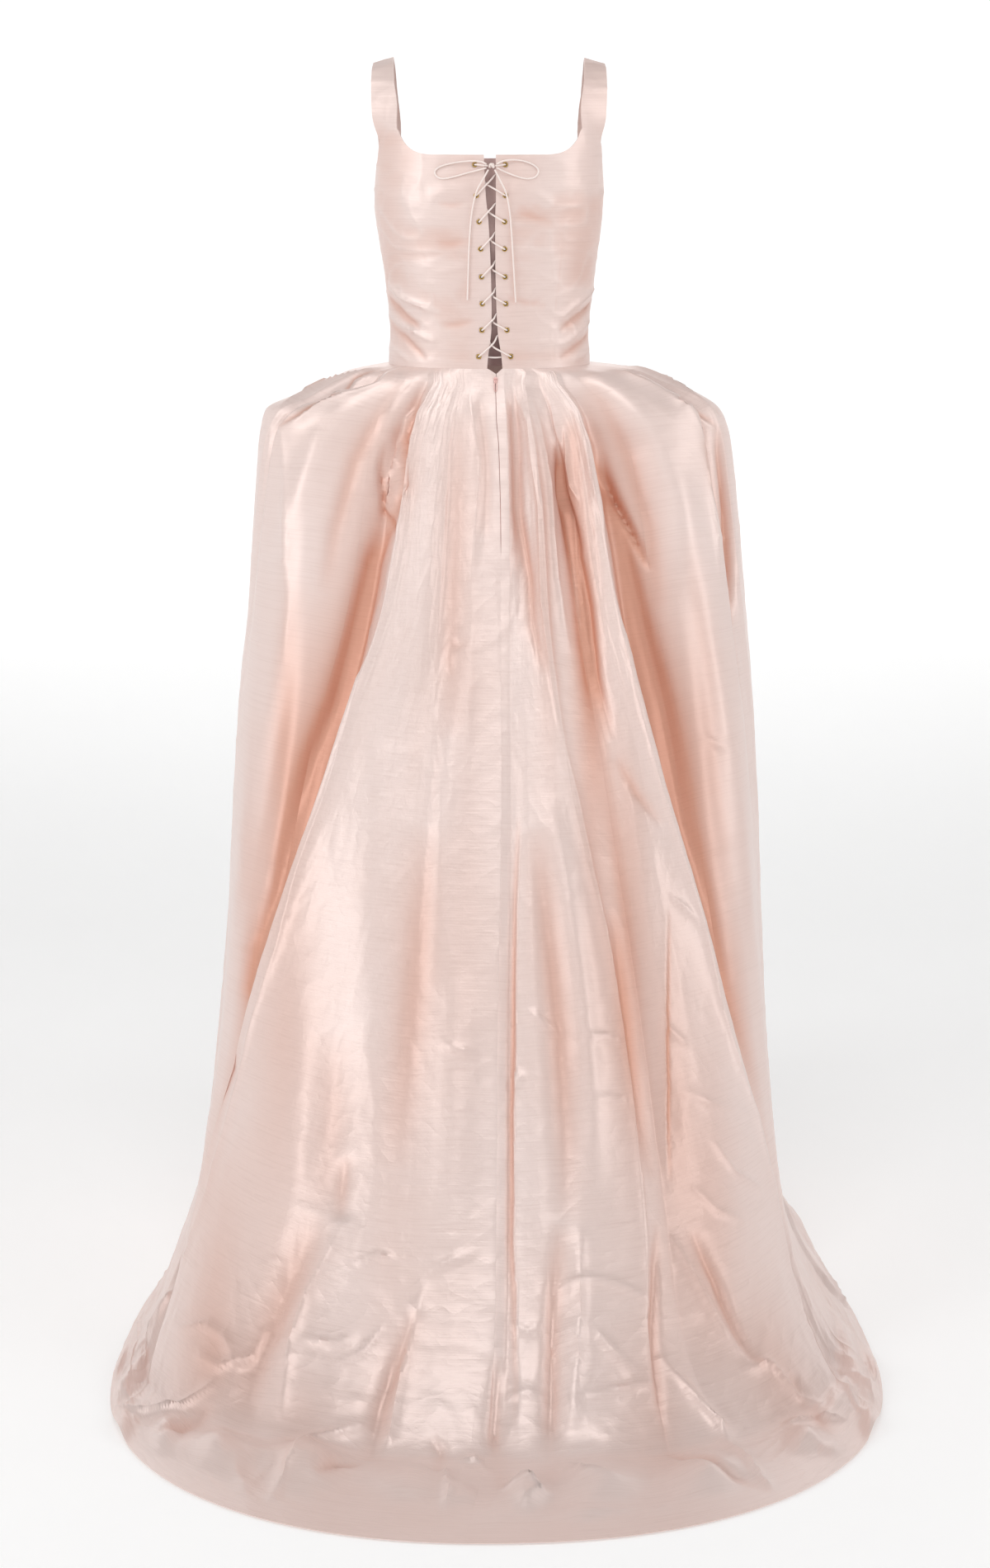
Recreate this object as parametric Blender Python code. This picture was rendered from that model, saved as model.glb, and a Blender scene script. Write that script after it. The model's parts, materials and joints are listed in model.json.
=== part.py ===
"""A silk gown with a laced back, hip pleats and a train, kept in its worn form.

Origin: the middle of the waist seam. +Z is up, the wearer's left is +X, and the back
of the gown with its train faces +Y. Every length is in metres, every angle in degrees.
"""
import math

import bmesh
import bpy
import numpy as np
from mathutils import Matrix, Vector

# Driving dimensions
WAIST_HEIGHT = 1.12          # waist seam above the floor
FLOOR = -WAIST_HEIGHT
SKIRT_WALL = 0.0018
BODICE_WALL = 0.0016
SEAM_GAP = 0.00036           # between two sewn panels
NECKLINE = 0.261             # back neckline above the waist seam
FRONT_NECKLINE = 0.214
UNDERARM = 0.222
WAIST_NOTCH = 0.0066         # depth of the notch over the zip

# Skirt sections, one row a ring, from the waist to the hem. The last rows lie on the
# floor behind and hang in front. "square" is the exponent of the rounded oval.
SKIRT_COLUMNS = ("z_back", "z_front", "left", "right", "front", "side", "back", "square")
SKIRT_ROWS = {
    "waist":       (0.0000, 0.000, .1273, .1273, -.100, .000, .0920, 2.15),
    "hip_rise":    (-.0075, -.0075, .170, .184, -.107, .000, .0945, 2.20),
    "hip_slope":   (-.0220, -.022, .204, .224, -.118, .000, .1010, 2.30),
    "hip_fall":    (-.0400, -.040, .244, .264, -.130, .000, .1100, 2.40),
    "hip_corner":  (-.0585, -.0585, .282, .290, -.142, .000, .1200, 2.45),
    "hip_under":   (-.0850, -.085, .289, .301, -.152, .000, .1320, 2.45),
    "hip":         (-.1890, -.189, .299, .315, -.172, .000, .1820, 2.45),
    "thigh":       (-.3170, -.317, .309, .327, -.192, .005, .2500, 2.40),
    "above_knee":  (-.4470, -.447, .323, .338, -.208, .015, .3250, 2.40),
    "knee":        (-.6110, -.611, .333, .345, -.228, .030, .4280, 2.40),
    "calf":        (-.7780, -.778, .341, .352, -.246, .060, .5350, 2.40),
    "shin":        (-.9135, -.900, .353, .358, -.262, .140, .6350, 2.40),
    "ankle":       (-1.016, -.985, .367, .365, -.272, .300, .7250, 2.35),
    "above_floor": (-1.075, -1.035, .387, .384, -.280, .420, .7900, 2.30),
    "touch_down":  (FLOOR, -1.070, .404, .416, -.286, .530, .8700, 2.25),
    "train":       (FLOOR, -1.098, .422, .438, -.289, .580, .9600, 2.20),
    "hem":         (FLOOR, FLOOR, .434, .452, -.290, .600, 1.058, 2.17),
}
SIDE_ON_FLOOR = 75.0         # the rows lie on the floor up to this angle from the back
SIDE_HANGING = 115.0         # and hang from this angle on

# Folds, one entry a line that runs from the waist to the hem. Its angles from the back
# come first and then its heights out of the section (in mm, down into it if negative),
# both at these section rows.
FOLD_STATIONS = (0, 2, 4, 6, 8, 10, 12, 14, 16)
FOLDS = {
    "hip_corner_right": (
        (-89, -88, -88, -88, -89, -92, -97, -99, -101),
        (0, 1, 1, 0, 0, 0, 0, 0, 0)),
    "hip_layer_right": (
        (-76, -72, -72, -73, -79, -86, -92, -95, -97),
        (0, 2, 3, 4, 3, 1, 0, 0, 0)),
    "hip_tuck_right": (
        (-66, -60.5, -61.5, -65.5, -72, -81, -88, -91, -93),
        (0, -5, -7, -8, -3, 0, 0, 0, 0)),
    "hip_pleat_right": (
        (-60, -56.5, -57.5, -62, -68, -77, -85, -88, -90.5),
        (0, 3, 4, 4, 2, 0, 0, 2, 0)),
    "side_face_right": (
        (-52, -43, -44, -48, -58, -70, -81, -84, -87),
        (0, 1, 3, 5, 6, 4, 2, 4, 0)),
    "valley_out_right": (
        (-42, -30, -29.5, -34, -45.5, -61.5, -77, -80.5, -83),
        (0, -3, -8, -16, -22, -18, -8, 0, 0)),
    "train_valley_right": (
        (-34.5, -22.5, -21, -25.6, -36.8, -55.5, -73.5, -77, -79),
        (0, -5, -14, -29, -43, -40, -22, 0, 0)),
    "train_edge_right": (
        (-31, -20, -18.4, -21.5, -31, -50.5, -69.5, -73, -75),
        (0, 3, 6, 9, 12, 14, 12, 9, 1)),
    "pleat_2_right": (
        (-26.5, -16.5, -15.2, -17.8, -25, -34, -46, -50, -52),
        (0, 2, 3, 4, 5, 5, 3, 0, 0)),
    "valley_2_right": (
        (-22, -13.5, -11.5, -14.2, -20, -28, -33, -36, -38),
        (0, -3, -9, -14, -10, -5, -4, 5, 0)),
    "pleat_1_right": (
        (-17, -9, -6.6, -8.1, -12, -22.8, -25.5, -26, -25),
        (0, 4, 8, 9, 9, 10, 10, 8, 0)),
    "valley_1_right": (
        (-11, -5.4, -3.9, -4.2, -5.2, -6.5, -8, -9, -9),
        (0, -3, -8, -6, 2, 5, 5, 6, 0)),
    "placket_edge_right": (
        (-6.8, -3.3, -2.36, -2.6, -2.7, -2.2, -2.0, -1.2, .2),
        (0, 0, 0, 0, -3, -6, -6, 0, 0)),
    "seam_centre": (
        (-2.75, -1.2, -.82, -1.3, -1.4, -.8, -.6, .4, 2.4),
        (0, 0, 0, 0, 0, 0, 0, 0, 0)),
    "placket_edge_left": (
        (1.2, .7, .36, .3, .6, 1.5, 2.0, 3.5, 6.0),
        (0, 0, 0, 0, 0, 0, 0, 0, 0)),
    "soft_valley_left": (
        (12, 6.5, 5, 6, 8, 12, 15, 18, 20),
        (0, -1, -3, -4, -4, -3, -3, 0, 0)),
    "soft_crest_left": (
        (20, 11, 9, 11, 17, 28, 38, 42, 44),
        (0, 1, 2, 3, 4, 5, 5, 7, 0)),
    "train_edge_left": (
        (27.4, 17, 14.2, 17, 30, 53.5, 70.5, 73, 75),
        (0, 3, 7, 12, 16, 18, 14, 9, 1)),
    "train_valley_left": (
        (31, 20, 17.8, 22.5, 36.8, 58.5, 74, 77, 79),
        (0, -4, -12, -29, -43, -44, -26, 0, 0)),
    "valley_out_left": (
        (38, 26.5, 25, 28.5, 43.2, 63, 77.5, 80.5, 82.5),
        (0, -2, -6, -14, -22, -20, -10, 0, 0)),
    "side_face_left": (
        (46, 33, 40, 45, 58, 72, 81, 84, 86),
        (0, 1, 2, 4, 5, 4, 2, 4, 0)),
    "hip_pleat_left": (
        (54, 40, 57, 68, 74, 80, 85, 88, 90),
        (0, 4, 5, 3, 1, 0, 0, 2, 0)),
    "hip_tuck_left": (
        (59, 44.5, 61, 72, 78, 83.5, 88, 91, 93),
        (0, -6, -8, -3, 0, 0, 0, 0, 0)),
    "hip_layer_left": (
        (68, 62, 67, 78, 83, 87.5, 92, 95, 97),
        (0, 1, 2, 1, 0, 0, 0, 0, 0)),
    "hip_corner_left": (
        (88, 88, 88, 89, 90, 92, 97, 99, 101),
        (0, 1, 1, 0, 0, 0, 0, 0, 0)),
    "side_gather_left": (
        (104, 104, 104, 105, 105, 106, 108, 109, 111),
        (0, -3, -6, -7, -8, -9, -8, -6, -4)),
    "seam_side_front_left": (
        (120,) * 9,
        (0, 2, 4, 5, 7, 8, 8, 6, 5)),
    "front_gather_1_left": (
        (132,) * 9,
        (0, -2, -5, -7, -8, -9, -9, -8, -6)),
    "front_pleat_1_left": (
        (144,) * 9,
        (0, 3, 5, 6, 8, 9, 9, 8, 7)),
    "front_gather_2_left": (
        (156,) * 9,
        (0, -2, -4, -6, -8, -9, -8, -7, -6)),
    "front_pleat_2_left": (
        (168,) * 9,
        (0, 2, 3, 4, 5, 6, 6, 5, 4)),
    "front_middle": (
        (180,) * 9,
        (0, 0, -1, -2, -3, -3, -3, -2, -2)),
    "front_pleat_2_right": (
        (193,) * 9,
        (0, 2, 4, 5, 6, 6, 7, 6, 5)),
    "front_gather_2_right": (
        (205,) * 9,
        (0, -2, -5, -6, -7, -8, -9, -8, -6)),
    "front_pleat_1_right": (
        (217,) * 9,
        (0, 3, 4, 6, 7, 9, 8, 8, 6)),
    "front_gather_1_right": (
        (228,) * 9,
        (0, -2, -4, -7, -9, -9, -8, -7, -6)),
    "seam_side_front_right": (
        (240,) * 9,
        (0, 2, 4, 6, 7, 7, 8, 7, 5)),
    "side_gather_right": (
        (256, 256, 256, 255, 255, 254, 252, 251, 249),
        (0, -3, -5, -7, -9, -9, -8, -6, -4)),
}
FOLD_NAMES = list(FOLDS)
SKIRT_PANELS = (             # name, first fold line, last fold line
    ("skirt_back_right", "valley_out_right", "seam_centre"),
    ("skirt_back_left", "seam_centre", "valley_out_left"),
    ("skirt_side_left", "valley_out_left", "seam_side_front_left"),
    ("skirt_front", "seam_side_front_left", "seam_side_front_right"),
    ("skirt_side_right", "seam_side_front_right", "valley_out_right"),
)
SKIRT_LEVELS = (0, 1, 2, 3, 4, 4.7, 5.6, 6.4, 7.2, 8, 8.8, 9.6, 10.4, 11.2, 12, 12.8, 13.5,
                14, 15, 16)

# Bodice sections, one row a ring, from the waist up
BODICE_COLUMNS = ("height", "half_width", "back", "front", "square")
BODICE_ROWS = {
    "waist":      (0.0000, .1273, .0920, -.100, 2.15),
    "narrowest":  (0.0415, .1263, .0925, -.101, 2.15),
    "ribs":       (0.1036, .1322, .0965, -.109, 2.20),
    "under_bust": (0.1650, .1407, .1010, -.128, 2.25),
    "bust":       (0.2060, .1445, .1025, -.134, 2.30),
    "underarm":   (0.2470, .1432, .1000, -.125, 2.30),
    "blades":     (0.2900, .1440, .0930, -.108, 2.30),
    "shoulder":   (0.3800, .1440, .0700, -.080, 2.30),
}
# Top edge of the bodice by angle from the middle of the back or of the front
TOP_EDGE_COLUMNS = ("angle", "back", "front")
TOP_EDGE = (
    (0, NECKLINE, FRONT_NECKLINE),
    (26, NECKLINE, FRONT_NECKLINE),
    (33, .2625, .2155),
    (40, .268, .220),
    (46, .279, .229),
    (50, .292, .241),
    (61, .286, .240),
    (71, .276, .238),
    (78, .250, .229),
    (84, .232, .2235),
    (90, UNDERARM, UNDERARM),
)
STRAP_FIRST, STRAP_LAST = 50, 71
BODICE_LEVELS = 10
# Straps over the shoulder, one row a station from the back to the front: the place of
# the inner edge (x, y, z), then of the outer edge (x, y, z)
STRAP_ROWS = {
    "back_low":   (.1135, .0560, .318, .1450, .0360, .308),
    "back_high":  (.1170, .0400, .348, .1460, .0270, .340),
    "back_top":   (.1185, .0190, .370, .1455, .0140, .363),
    "shoulder":   (.1185, .0000, .378, .1440, .0000, .371),
    "front_top":  (.1180, -.0210, .369, .1450, -.0160, .362),
    "front_high": (.1165, -.0480, .336, .1450, -.0340, .330),
    "front_low":  (.1135, -.0740, .288, .1420, -.0460, .286),
}

# Lacing: height, middle of the gap and width of the gap, from the bottom pair of
# eyelets to the top pair
LACING_ROWS = (
    (.0150, -.0070, .0165),
    (.0475, -.0066, .0078),
    (.0800, -.0060, .0058),
    (.1130, -.0052, .0056),
    (.1470, -.0044, .0066),
    (.1800, -.0034, .0082),
    (.2120, -.0022, .0125),
    (.2490, -.0012, .0142),
)
EYELET_INSET = 0.0115        # from the edge of the gap to the middle of an eyelet
PLACKET_WIDTH = 0.0185       # the flat strip that carries the eyelets
EYELET_HOLE, EYELET_BARREL, EYELET_RIM = 0.0019, 0.0024, 0.0032
PANEL_HOLE = 0.0028
EYELET_CLEAR = 0.0003        # rim to cloth
EYELET_PLATE = 0.0003
LACE_RADIUS = 0.0011
LACE_OVER, LACE_UNDER = 0.00225, -0.0039
LACE_LEFT_SLOPE = math.tan(math.radians(45))     # of a strand that starts on the left
LACE_RIGHT_SLOPE = math.tan(math.radians(30))
LACE_REST = 0.0019           # a strand's middle over the cloth beside an eyelet
LACE_IN_HOLE = 0.0005, -0.0021                   # a strand's two ends in an eyelet
LACE_TURN_IN = 0.0010        # how far past the gap's edge a strand bends
MODESTY_DEPTH, MODESTY_WALL, MODESTY_HALF = 0.0062, 0.0015, 0.032
MODESTY_TOP, MODESTY_BOTTOM = 0.2575, 0.003
MODESTY_SIDE = BODICE_WALL + .0010       # its sides, behind the outer face of the back
KNOT_PLACE = (-.003, .2475, .0046)       # x, z, out of the cloth
KNOT_SIZE = (.0046, .0030, .0038)
KNOT_GROOVE = .10            # depth of its groove as a share of its size
KNOT_CLEAR = .0002           # cord to knot

# Zip in the skirt's centre-back seam
ZIP_TOP, ZIP_BOTTOM = -.0105, -.222
ZIP_TAPE_HALF, ZIP_TAPE_WALL, ZIP_TAPE_CLEAR = .0100, .0010, .0004
SLIDER_WIDTH, SLIDER_LENGTH, SLIDER_WALL, SLIDER_CLEAR = .0048, .0085, .0010, .0004
PULL_LENGTH, PULL_WIDTH, PULL_WALL, PULL_RIM = .0160, .0046, .0010, .0011
BAR_HALF, BAR_RISE = .00035, .0018      # the bar's half thickness, and its place over the plate
POST_HALF, POST_PLACE = (.0004, .0006), .0016    # the bar's two posts
PULL_EYE, PULL_EYE_RIM = .0008, .0014
PULL_LEAN = 6.0              # the pull leans this much towards the cloth

# Colours
SILK = (0.83, 0.63, 0.57, 1)
SILK_SHADE = (0.45, 0.30, 0.28, 1)
CORD = (0.82, 0.58, 0.53, 1)
GOLD = (0.80, 0.58, 0.24, 1)
PINK_METAL = (0.80, 0.52, 0.50, 1)


def smooth_rows(places, values, at):
    """Monotone cubic through the rows of a table, read at one or more places."""
    places = np.asarray(places, float)
    values = np.asarray(values, float)
    at = np.clip(np.asarray(at, float), places[0], places[-1])
    step = np.diff(places)
    slope = (np.diff(values, axis=0).T / step).T
    tangent = np.zeros_like(values)
    tangent[0], tangent[-1] = slope[0], slope[-1]
    product = slope[:-1] * slope[1:]
    total = np.where(product > 0, slope[:-1] + slope[1:], 1.0)
    tangent[1:-1] = np.where(product > 0, 2 * product / total, 0.0)
    low = np.clip(np.searchsorted(places, at, side="right") - 1, 0, len(places) - 2)
    part = (at - places[low]) / step[low]
    shape = (1 + 2 * part) * (1 - part) ** 2, part * (1 - part) ** 2 * step[low]
    shape += (part ** 2 * (3 - 2 * part), part ** 2 * (part - 1) * step[low])
    if values.ndim > 1 and at.ndim > 0:
        shape = tuple(item[:, None] for item in shape)
    return (shape[0] * values[low] + shape[1] * tangent[low]
            + shape[2] * values[low + 1] + shape[3] * tangent[low + 1])


def ease(value):
    value = np.clip(value, 0.0, 1.0)
    return value * value * (3 - 2 * value)


def clear_scene():
    for item in list(bpy.data.objects):
        bpy.data.objects.remove(item, do_unlink=True)


def material(name, colour, roughness, metallic=0.0):
    made = bpy.data.materials.new(name)
    made.use_nodes = True
    shader = made.node_tree.nodes["Principled BSDF"]
    shader.inputs["Base Color"].default_value = colour
    shader.inputs["Roughness"].default_value = roughness
    shader.inputs["Metallic"].default_value = metallic
    return made


def face_outwards(mesh):
    work = bmesh.new()
    work.from_mesh(mesh)
    bmesh.ops.recalc_face_normals(work, faces=work.faces)
    work.to_mesh(mesh)
    work.free()


def add_object(name, vertices, faces, finish, origin=None):
    mesh = bpy.data.meshes.new(name)
    shift = Vector(origin) if origin is not None else Vector((0, 0, 0))
    mesh.from_pydata([Vector(v) - shift for v in vertices], [], faces)
    face_outwards(mesh)
    mesh.shade_smooth()
    mesh.materials.append(finish)
    made = bpy.data.objects.new(name, mesh)
    made.location = shift
    bpy.context.scene.collection.objects.link(made)
    return made


def wall_from_grid(name, outer, inner, quads, finish):
    """A closed wall: the outer points, the inner points, and the rim round both."""
    keys = sorted({key for quad in quads for key in quad})
    number = {key: count for count, key in enumerate(keys)}
    total = len(keys)
    vertices = [outer[key] for key in keys] + [inner[key] for key in keys]
    faces = []
    edges = set()
    for quad in quads:
        ring = [number[key] for key in quad]
        for corners in (ring[:3], [ring[0], ring[2], ring[3]]):
            faces.append(corners)
            faces.append([total + index for index in reversed(corners)])
        edges.update(zip(ring, ring[1:] + ring[:1]))
    for first, second in sorted(edges):
        if (second, first) not in edges:
            low, high = min(first, second), max(first, second)
            faces.append([low, high, total + high])
            faces.append([low, total + high, total + low])
    return add_object(name, vertices, faces, finish)


# The skirt's form

def skirt_section(level):
    values = smooth_rows(range(len(SKIRT_ROWS)), list(SKIRT_ROWS.values()), level)
    return dict(zip(SKIRT_COLUMNS, values))


def skirt_base(angle, level):
    """The plain form without folds, at an angle from the back and a section level."""
    row = skirt_section(level)
    power = 2 / row["square"]
    turn = math.radians(angle)
    across, along = math.sin(turn), math.cos(turn)
    half = row["left"] if across >= 0 else row["right"]
    x = math.copysign(half * abs(across) ** power, across)
    reach = (row["back"] if along >= 0 else row["front"]) - row["side"]
    y = row["side"] + reach * abs(along) ** power
    from_back = abs((angle + 180) % 360 - 180)
    behind = ease((SIDE_HANGING - from_back) / (SIDE_HANGING - SIDE_ON_FLOOR))
    return np.array([x, y, row["z_front"] + (row["z_back"] - row["z_front"]) * behind])


def skirt_columns():
    """Angle and height of every grid column at every level: each fold line, and one
    column halfway to the next, where the height is halfway too."""
    angles = np.array([row[0] for row in FOLDS.values()], float)
    heights = np.array([row[1] for row in FOLDS.values()], float) / 1000
    angles = np.vstack([angles, angles[:1] + 360])
    heights = np.vstack([heights, heights[:1]])
    column_angles, column_heights = [], []
    for row in range(len(FOLDS)):
        for share in (0.0, 0.5):
            blend = ease(share)
            column_angles.append(angles[row] + (angles[row + 1] - angles[row]) * share)
            column_heights.append(heights[row] + (heights[row + 1] - heights[row]) * blend)
    return np.array(column_angles), np.array(column_heights)


def skirt_grid():
    column_angles, column_heights = skirt_columns()
    count, levels = len(column_angles), len(SKIRT_LEVELS)
    angle = smooth_rows(FOLD_STATIONS, column_angles.T, np.array(SKIRT_LEVELS)).T
    height = smooth_rows(FOLD_STATIONS, column_heights.T, np.array(SKIRT_LEVELS)).T
    plain = np.array([[skirt_base(angle[c, r], SKIRT_LEVELS[r]) for r in range(levels)]
                      for c in range(count)])
    out = grid_normals(plain)
    folded = plain + out * height[:, :, None]
    seam = FOLD_NAMES.index("seam_centre") * 2
    share = WAIST_NOTCH / abs(folded[seam, 1, 2] - folded[seam, 0, 2])
    folded[seam, 0] += (folded[seam, 1] - folded[seam, 0]) * share
    out = grid_normals(folded)
    folded[:, :, 2] = np.maximum(folded[:, :, 2], FLOOR + SKIRT_WALL * np.maximum(out[:, :, 2], 0))
    inner = folded - out * SKIRT_WALL
    inner[:, :, 2] = np.maximum(inner[:, :, 2], FLOOR)
    return folded, inner


def grid_normals(grid):
    """Outward unit normals of a grid of points that closes round its first index."""
    round_way = np.roll(grid, -1, axis=0) - np.roll(grid, 1, axis=0)
    down_way = np.gradient(grid, axis=1)
    normal = np.cross(round_way, down_way)
    return normal / np.linalg.norm(normal, axis=2, keepdims=True)


def skirt_panel(name, start, end, outer, inner, finish):
    count = outer.shape[0]
    first, last = FOLD_NAMES.index(start) * 2, FOLD_NAMES.index(end) * 2
    if last <= first:
        last += count
    columns = list(range(first, last + 1))
    levels = outer.shape[1]
    points_out, points_in = {}, {}
    for place, column in enumerate(columns):
        for row in range(levels):
            shell = [outer[column % count, row].copy(), inner[column % count, row].copy()]
            if place in (0, len(columns) - 1):
                beside = column + (1 if place == 0 else -1)
                for index, grid in enumerate((outer, inner)):
                    way = grid[beside % count, row] - shell[index]
                    shell[index] += way / np.linalg.norm(way) * SEAM_GAP / 2
            points_out[(place, row)], points_in[(place, row)] = shell
    quads = [((c, r), (c, r + 1), (c + 1, r + 1), (c + 1, r))
             for c in range(len(columns) - 1) for r in range(levels - 1)]
    return wall_from_grid(name, points_out, points_in, quads, finish)


# The bodice's form

def bodice_section(height):
    rows = np.array(list(BODICE_ROWS.values()))
    return dict(zip(BODICE_COLUMNS, smooth_rows(rows[:, 0], rows, height)))


def bodice_by_angle(angle, height):
    """A point of the bodice at an angle from the middle of the back."""
    row = bodice_section(height)
    power = 2 / row["square"]
    turn = math.radians(angle)
    across, along = math.sin(turn), math.cos(turn)
    x = math.copysign(row["half_width"] * abs(across) ** power, across)
    y = (row["back"] if along >= 0 else row["front"]) * abs(along) ** power
    return np.array([x, y, height])


def bodice_by_x(x, height):
    """A point of the bodice's back at a place across it."""
    row = bodice_section(height)
    share = min(abs(x) / row["half_width"], 1)
    square = row["square"]
    return np.array([x, row["back"] * (1 - share ** square) ** (1 / square), height])


def bodice_normal(place, height, by_x=False):
    step = 0.0005 if by_x else 0.4
    form = bodice_by_x if by_x else bodice_by_angle
    across = form(place + step, height) - form(place - step, height)
    low, high = max(height - 0.002, 0), height + 0.002
    normal = np.cross(form(place, high) - form(place, low), across)
    normal /= np.linalg.norm(normal)
    middle = form(place, height)
    return normal if normal[0] * middle[0] + normal[1] * middle[1] > 0 else -normal


def gap_at(height):
    """Middle and width of the lacing gap."""
    rows = np.array(LACING_ROWS)
    low = rows[0] + (rows[0] - rows[1]) * 0.3
    high = rows[-1] + (rows[-1] - rows[-2]) * 0.3
    low[0], high[0] = 0.0, NECKLINE
    rows = np.vstack([low, rows, high])
    return smooth_rows(rows[:, 0], rows[:, 1:], height)


def gap_edge(side, height):
    middle, width = gap_at(height)
    return middle + side * width / 2


def placket_point(side, inset, height, out):
    """A place over the flat strip beside the gap, or over the gap if inset is negative."""
    edge = gap_edge(side, height)
    start = bodice_by_x(edge, height)
    end = bodice_by_x(edge + side * PLACKET_WIDTH, height)
    across = (end - start) / PLACKET_WIDTH
    upright = bodice_by_x(edge, height + .004) - bodice_by_x(edge, height - .004)
    normal = np.cross(across, upright) * side
    normal /= np.linalg.norm(normal)
    if normal[1] < 0:
        normal = -normal
    return start + across * inset + normal * out, normal


def over_back(x, height, out):
    """A place over the bodice's back, out of the cloth."""
    left, right = gap_edge(1, height), gap_edge(-1, height)
    if right - PLACKET_WIDTH < x < left + PLACKET_WIDTH:
        middle = (left + right) / 2
        side = 1 if x >= middle else -1
        return placket_point(side, side * (x - gap_edge(side, height)), height, out)[0]
    return bodice_by_x(x, height) + bodice_normal(x, height, True) * out


def top_edge(angle, column):
    rows = np.array(TOP_EDGE)
    return float(smooth_rows(rows[:, 0], rows[:, TOP_EDGE_COLUMNS.index(column)], angle))


def strap_point(share, station, side):
    """A point of a strap: share 0 at its inner edge, station in rows from the back."""
    row = smooth_rows(range(len(STRAP_ROWS)), list(STRAP_ROWS.values()), station)
    point = row[:3] + (row[3:] - row[:3]) * share
    return np.array([side * point[0], point[1], point[2]])


def strap_normal(share, station, side):
    across = strap_point(share + .1, station, side) - strap_point(share - .1, station, side)
    along = strap_point(share, station + .2, side) - strap_point(share, station - .2, side)
    normal = np.cross(across, along)
    normal /= np.linalg.norm(normal)
    return normal if normal[2] + normal[0] * side > 0 else -normal


def strap_grid(strap_columns, start_row, stations, side, outer, inner):
    """Adds a strap's rows above the bodice's top row and returns its quads."""
    quads = []
    for step, station in enumerate(stations):
        row = start_row + 1 + step
        for place, column in enumerate(strap_columns):
            share = place / (len(strap_columns) - 1)
            point = strap_point(share, station, side)
            normal = strap_normal(share, station, side)
            outer[(column, row)] = point
            inner[(column, row)] = point - normal * BODICE_WALL
        for one, two in zip(strap_columns, strap_columns[1:]):
            quads.append(((one, row - 1), (two, row - 1), (two, row), (one, row)))
    if stations[-1] == SHOULDER_STATION:
        away = SEAM_GAP / 2 * (1 if stations[0] < SHOULDER_STATION else -1)
        for column in strap_columns:
            for shell in (outer, inner):
                shell[(column, start_row + len(stations))][1] += away
    return quads


SHOULDER_STATION = 3
BACK_ANGLES = (8, 17, 26, 33, 40, 46, 50, 60.5, 71, 78, 84, 90)
FRONT_ANGLES = (0, 13, 26, 33, 40, 46, 50, 60.5, 71, 78, 84, 90)


def back_panel(name, side, finish):
    """Half of the back, from the lacing gap to the side seam, with its strap."""
    outer, inner, quads = {}, {}, []
    angles = (0,) + BACK_ANGLES
    for column, angle in enumerate(angles):
        top = top_edge(angle, "back")
        for row in range(BODICE_LEVELS + 1):
            height = SEAM_GAP + (top - SEAM_GAP) * row / BODICE_LEVELS
            if column < 2:
                inset = 0.0 if column == 0 else PLACKET_WIDTH
                point, normal = placket_point(side, inset, height, 0.0)
            else:
                edge = gap_edge(side, height) + side * PLACKET_WIDTH
                section = bodice_section(height)
                share = (abs(edge) / section["half_width"]) ** (section["square"] / 2)
                edge_angle = math.degrees(math.asin(share))
                first = BACK_ANGLES[0]
                shown = edge_angle + (angle - first) * (90 - edge_angle) / (90 - first)
                point = bodice_by_angle(side * shown, height)
                normal = bodice_normal(side * min(shown, 89.5), height)
            if angle == 90:
                point[1] += SEAM_GAP / 2
                normal = np.array([side, 0, 0])
            outer[(column, row)] = point
            inner[(column, row)] = point - normal * BODICE_WALL
    for column in range(len(angles) - 1):
        for row in range(BODICE_LEVELS):
            quads.append(((column, row), (column + 1, row), (column + 1, row + 1), (column, row + 1)))
    strap = [c for c, angle in enumerate(angles) if STRAP_FIRST <= angle <= STRAP_LAST]
    quads += strap_grid(strap, BODICE_LEVELS, (0, 1, 2, SHOULDER_STATION), side, outer, inner)
    if side < 0:
        quads = [tuple(reversed(quad)) for quad in quads]
    quads = [tuple(reversed(quad)) for quad in quads]
    made = wall_from_grid(name, outer, inner, quads, finish)
    cut_eyelet_holes(made, side)
    return made


def front_panel(name, finish):
    """The whole front, from side seam to side seam, with the front of both straps."""
    outer, inner, quads = {}, {}, []
    angles = [-angle for angle in reversed(FRONT_ANGLES[1:])] + list(FRONT_ANGLES)
    for column, angle in enumerate(angles):
        top = top_edge(abs(angle), "front")
        for row in range(BODICE_LEVELS + 1):
            height = SEAM_GAP + (top - SEAM_GAP) * row / BODICE_LEVELS
            turned = 180 - angle
            point = bodice_by_angle(turned, height)
            if abs(angle) == 90:
                point[1] -= SEAM_GAP / 2
                normal = np.array([math.copysign(1, angle), 0, 0])
            else:
                normal = bodice_normal(turned, height)
            outer[(column, row)] = point
            inner[(column, row)] = point - normal * BODICE_WALL
    for column in range(len(angles) - 1):
        for row in range(BODICE_LEVELS):
            quads.append(((column, row), (column + 1, row), (column + 1, row + 1), (column, row + 1)))
    stations = (6, 5, 4, SHOULDER_STATION)
    for side in (-1, 1):
        strap = [c for c, a in enumerate(angles) if STRAP_FIRST <= side * a <= STRAP_LAST]
        strap = strap if side > 0 else list(reversed(strap))
        made = strap_grid(strap, BODICE_LEVELS, stations, side, outer, inner)
        quads += made if side > 0 else [tuple(reversed(quad)) for quad in made]
    return wall_from_grid(name, outer, inner, quads, finish)


def round_basis(normal):
    """Two unit vectors square to a normal."""
    up = np.array([0, 0, 1.0])
    across = np.cross(up, normal)
    across /= np.linalg.norm(across)
    return across, np.cross(normal, across)


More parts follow.
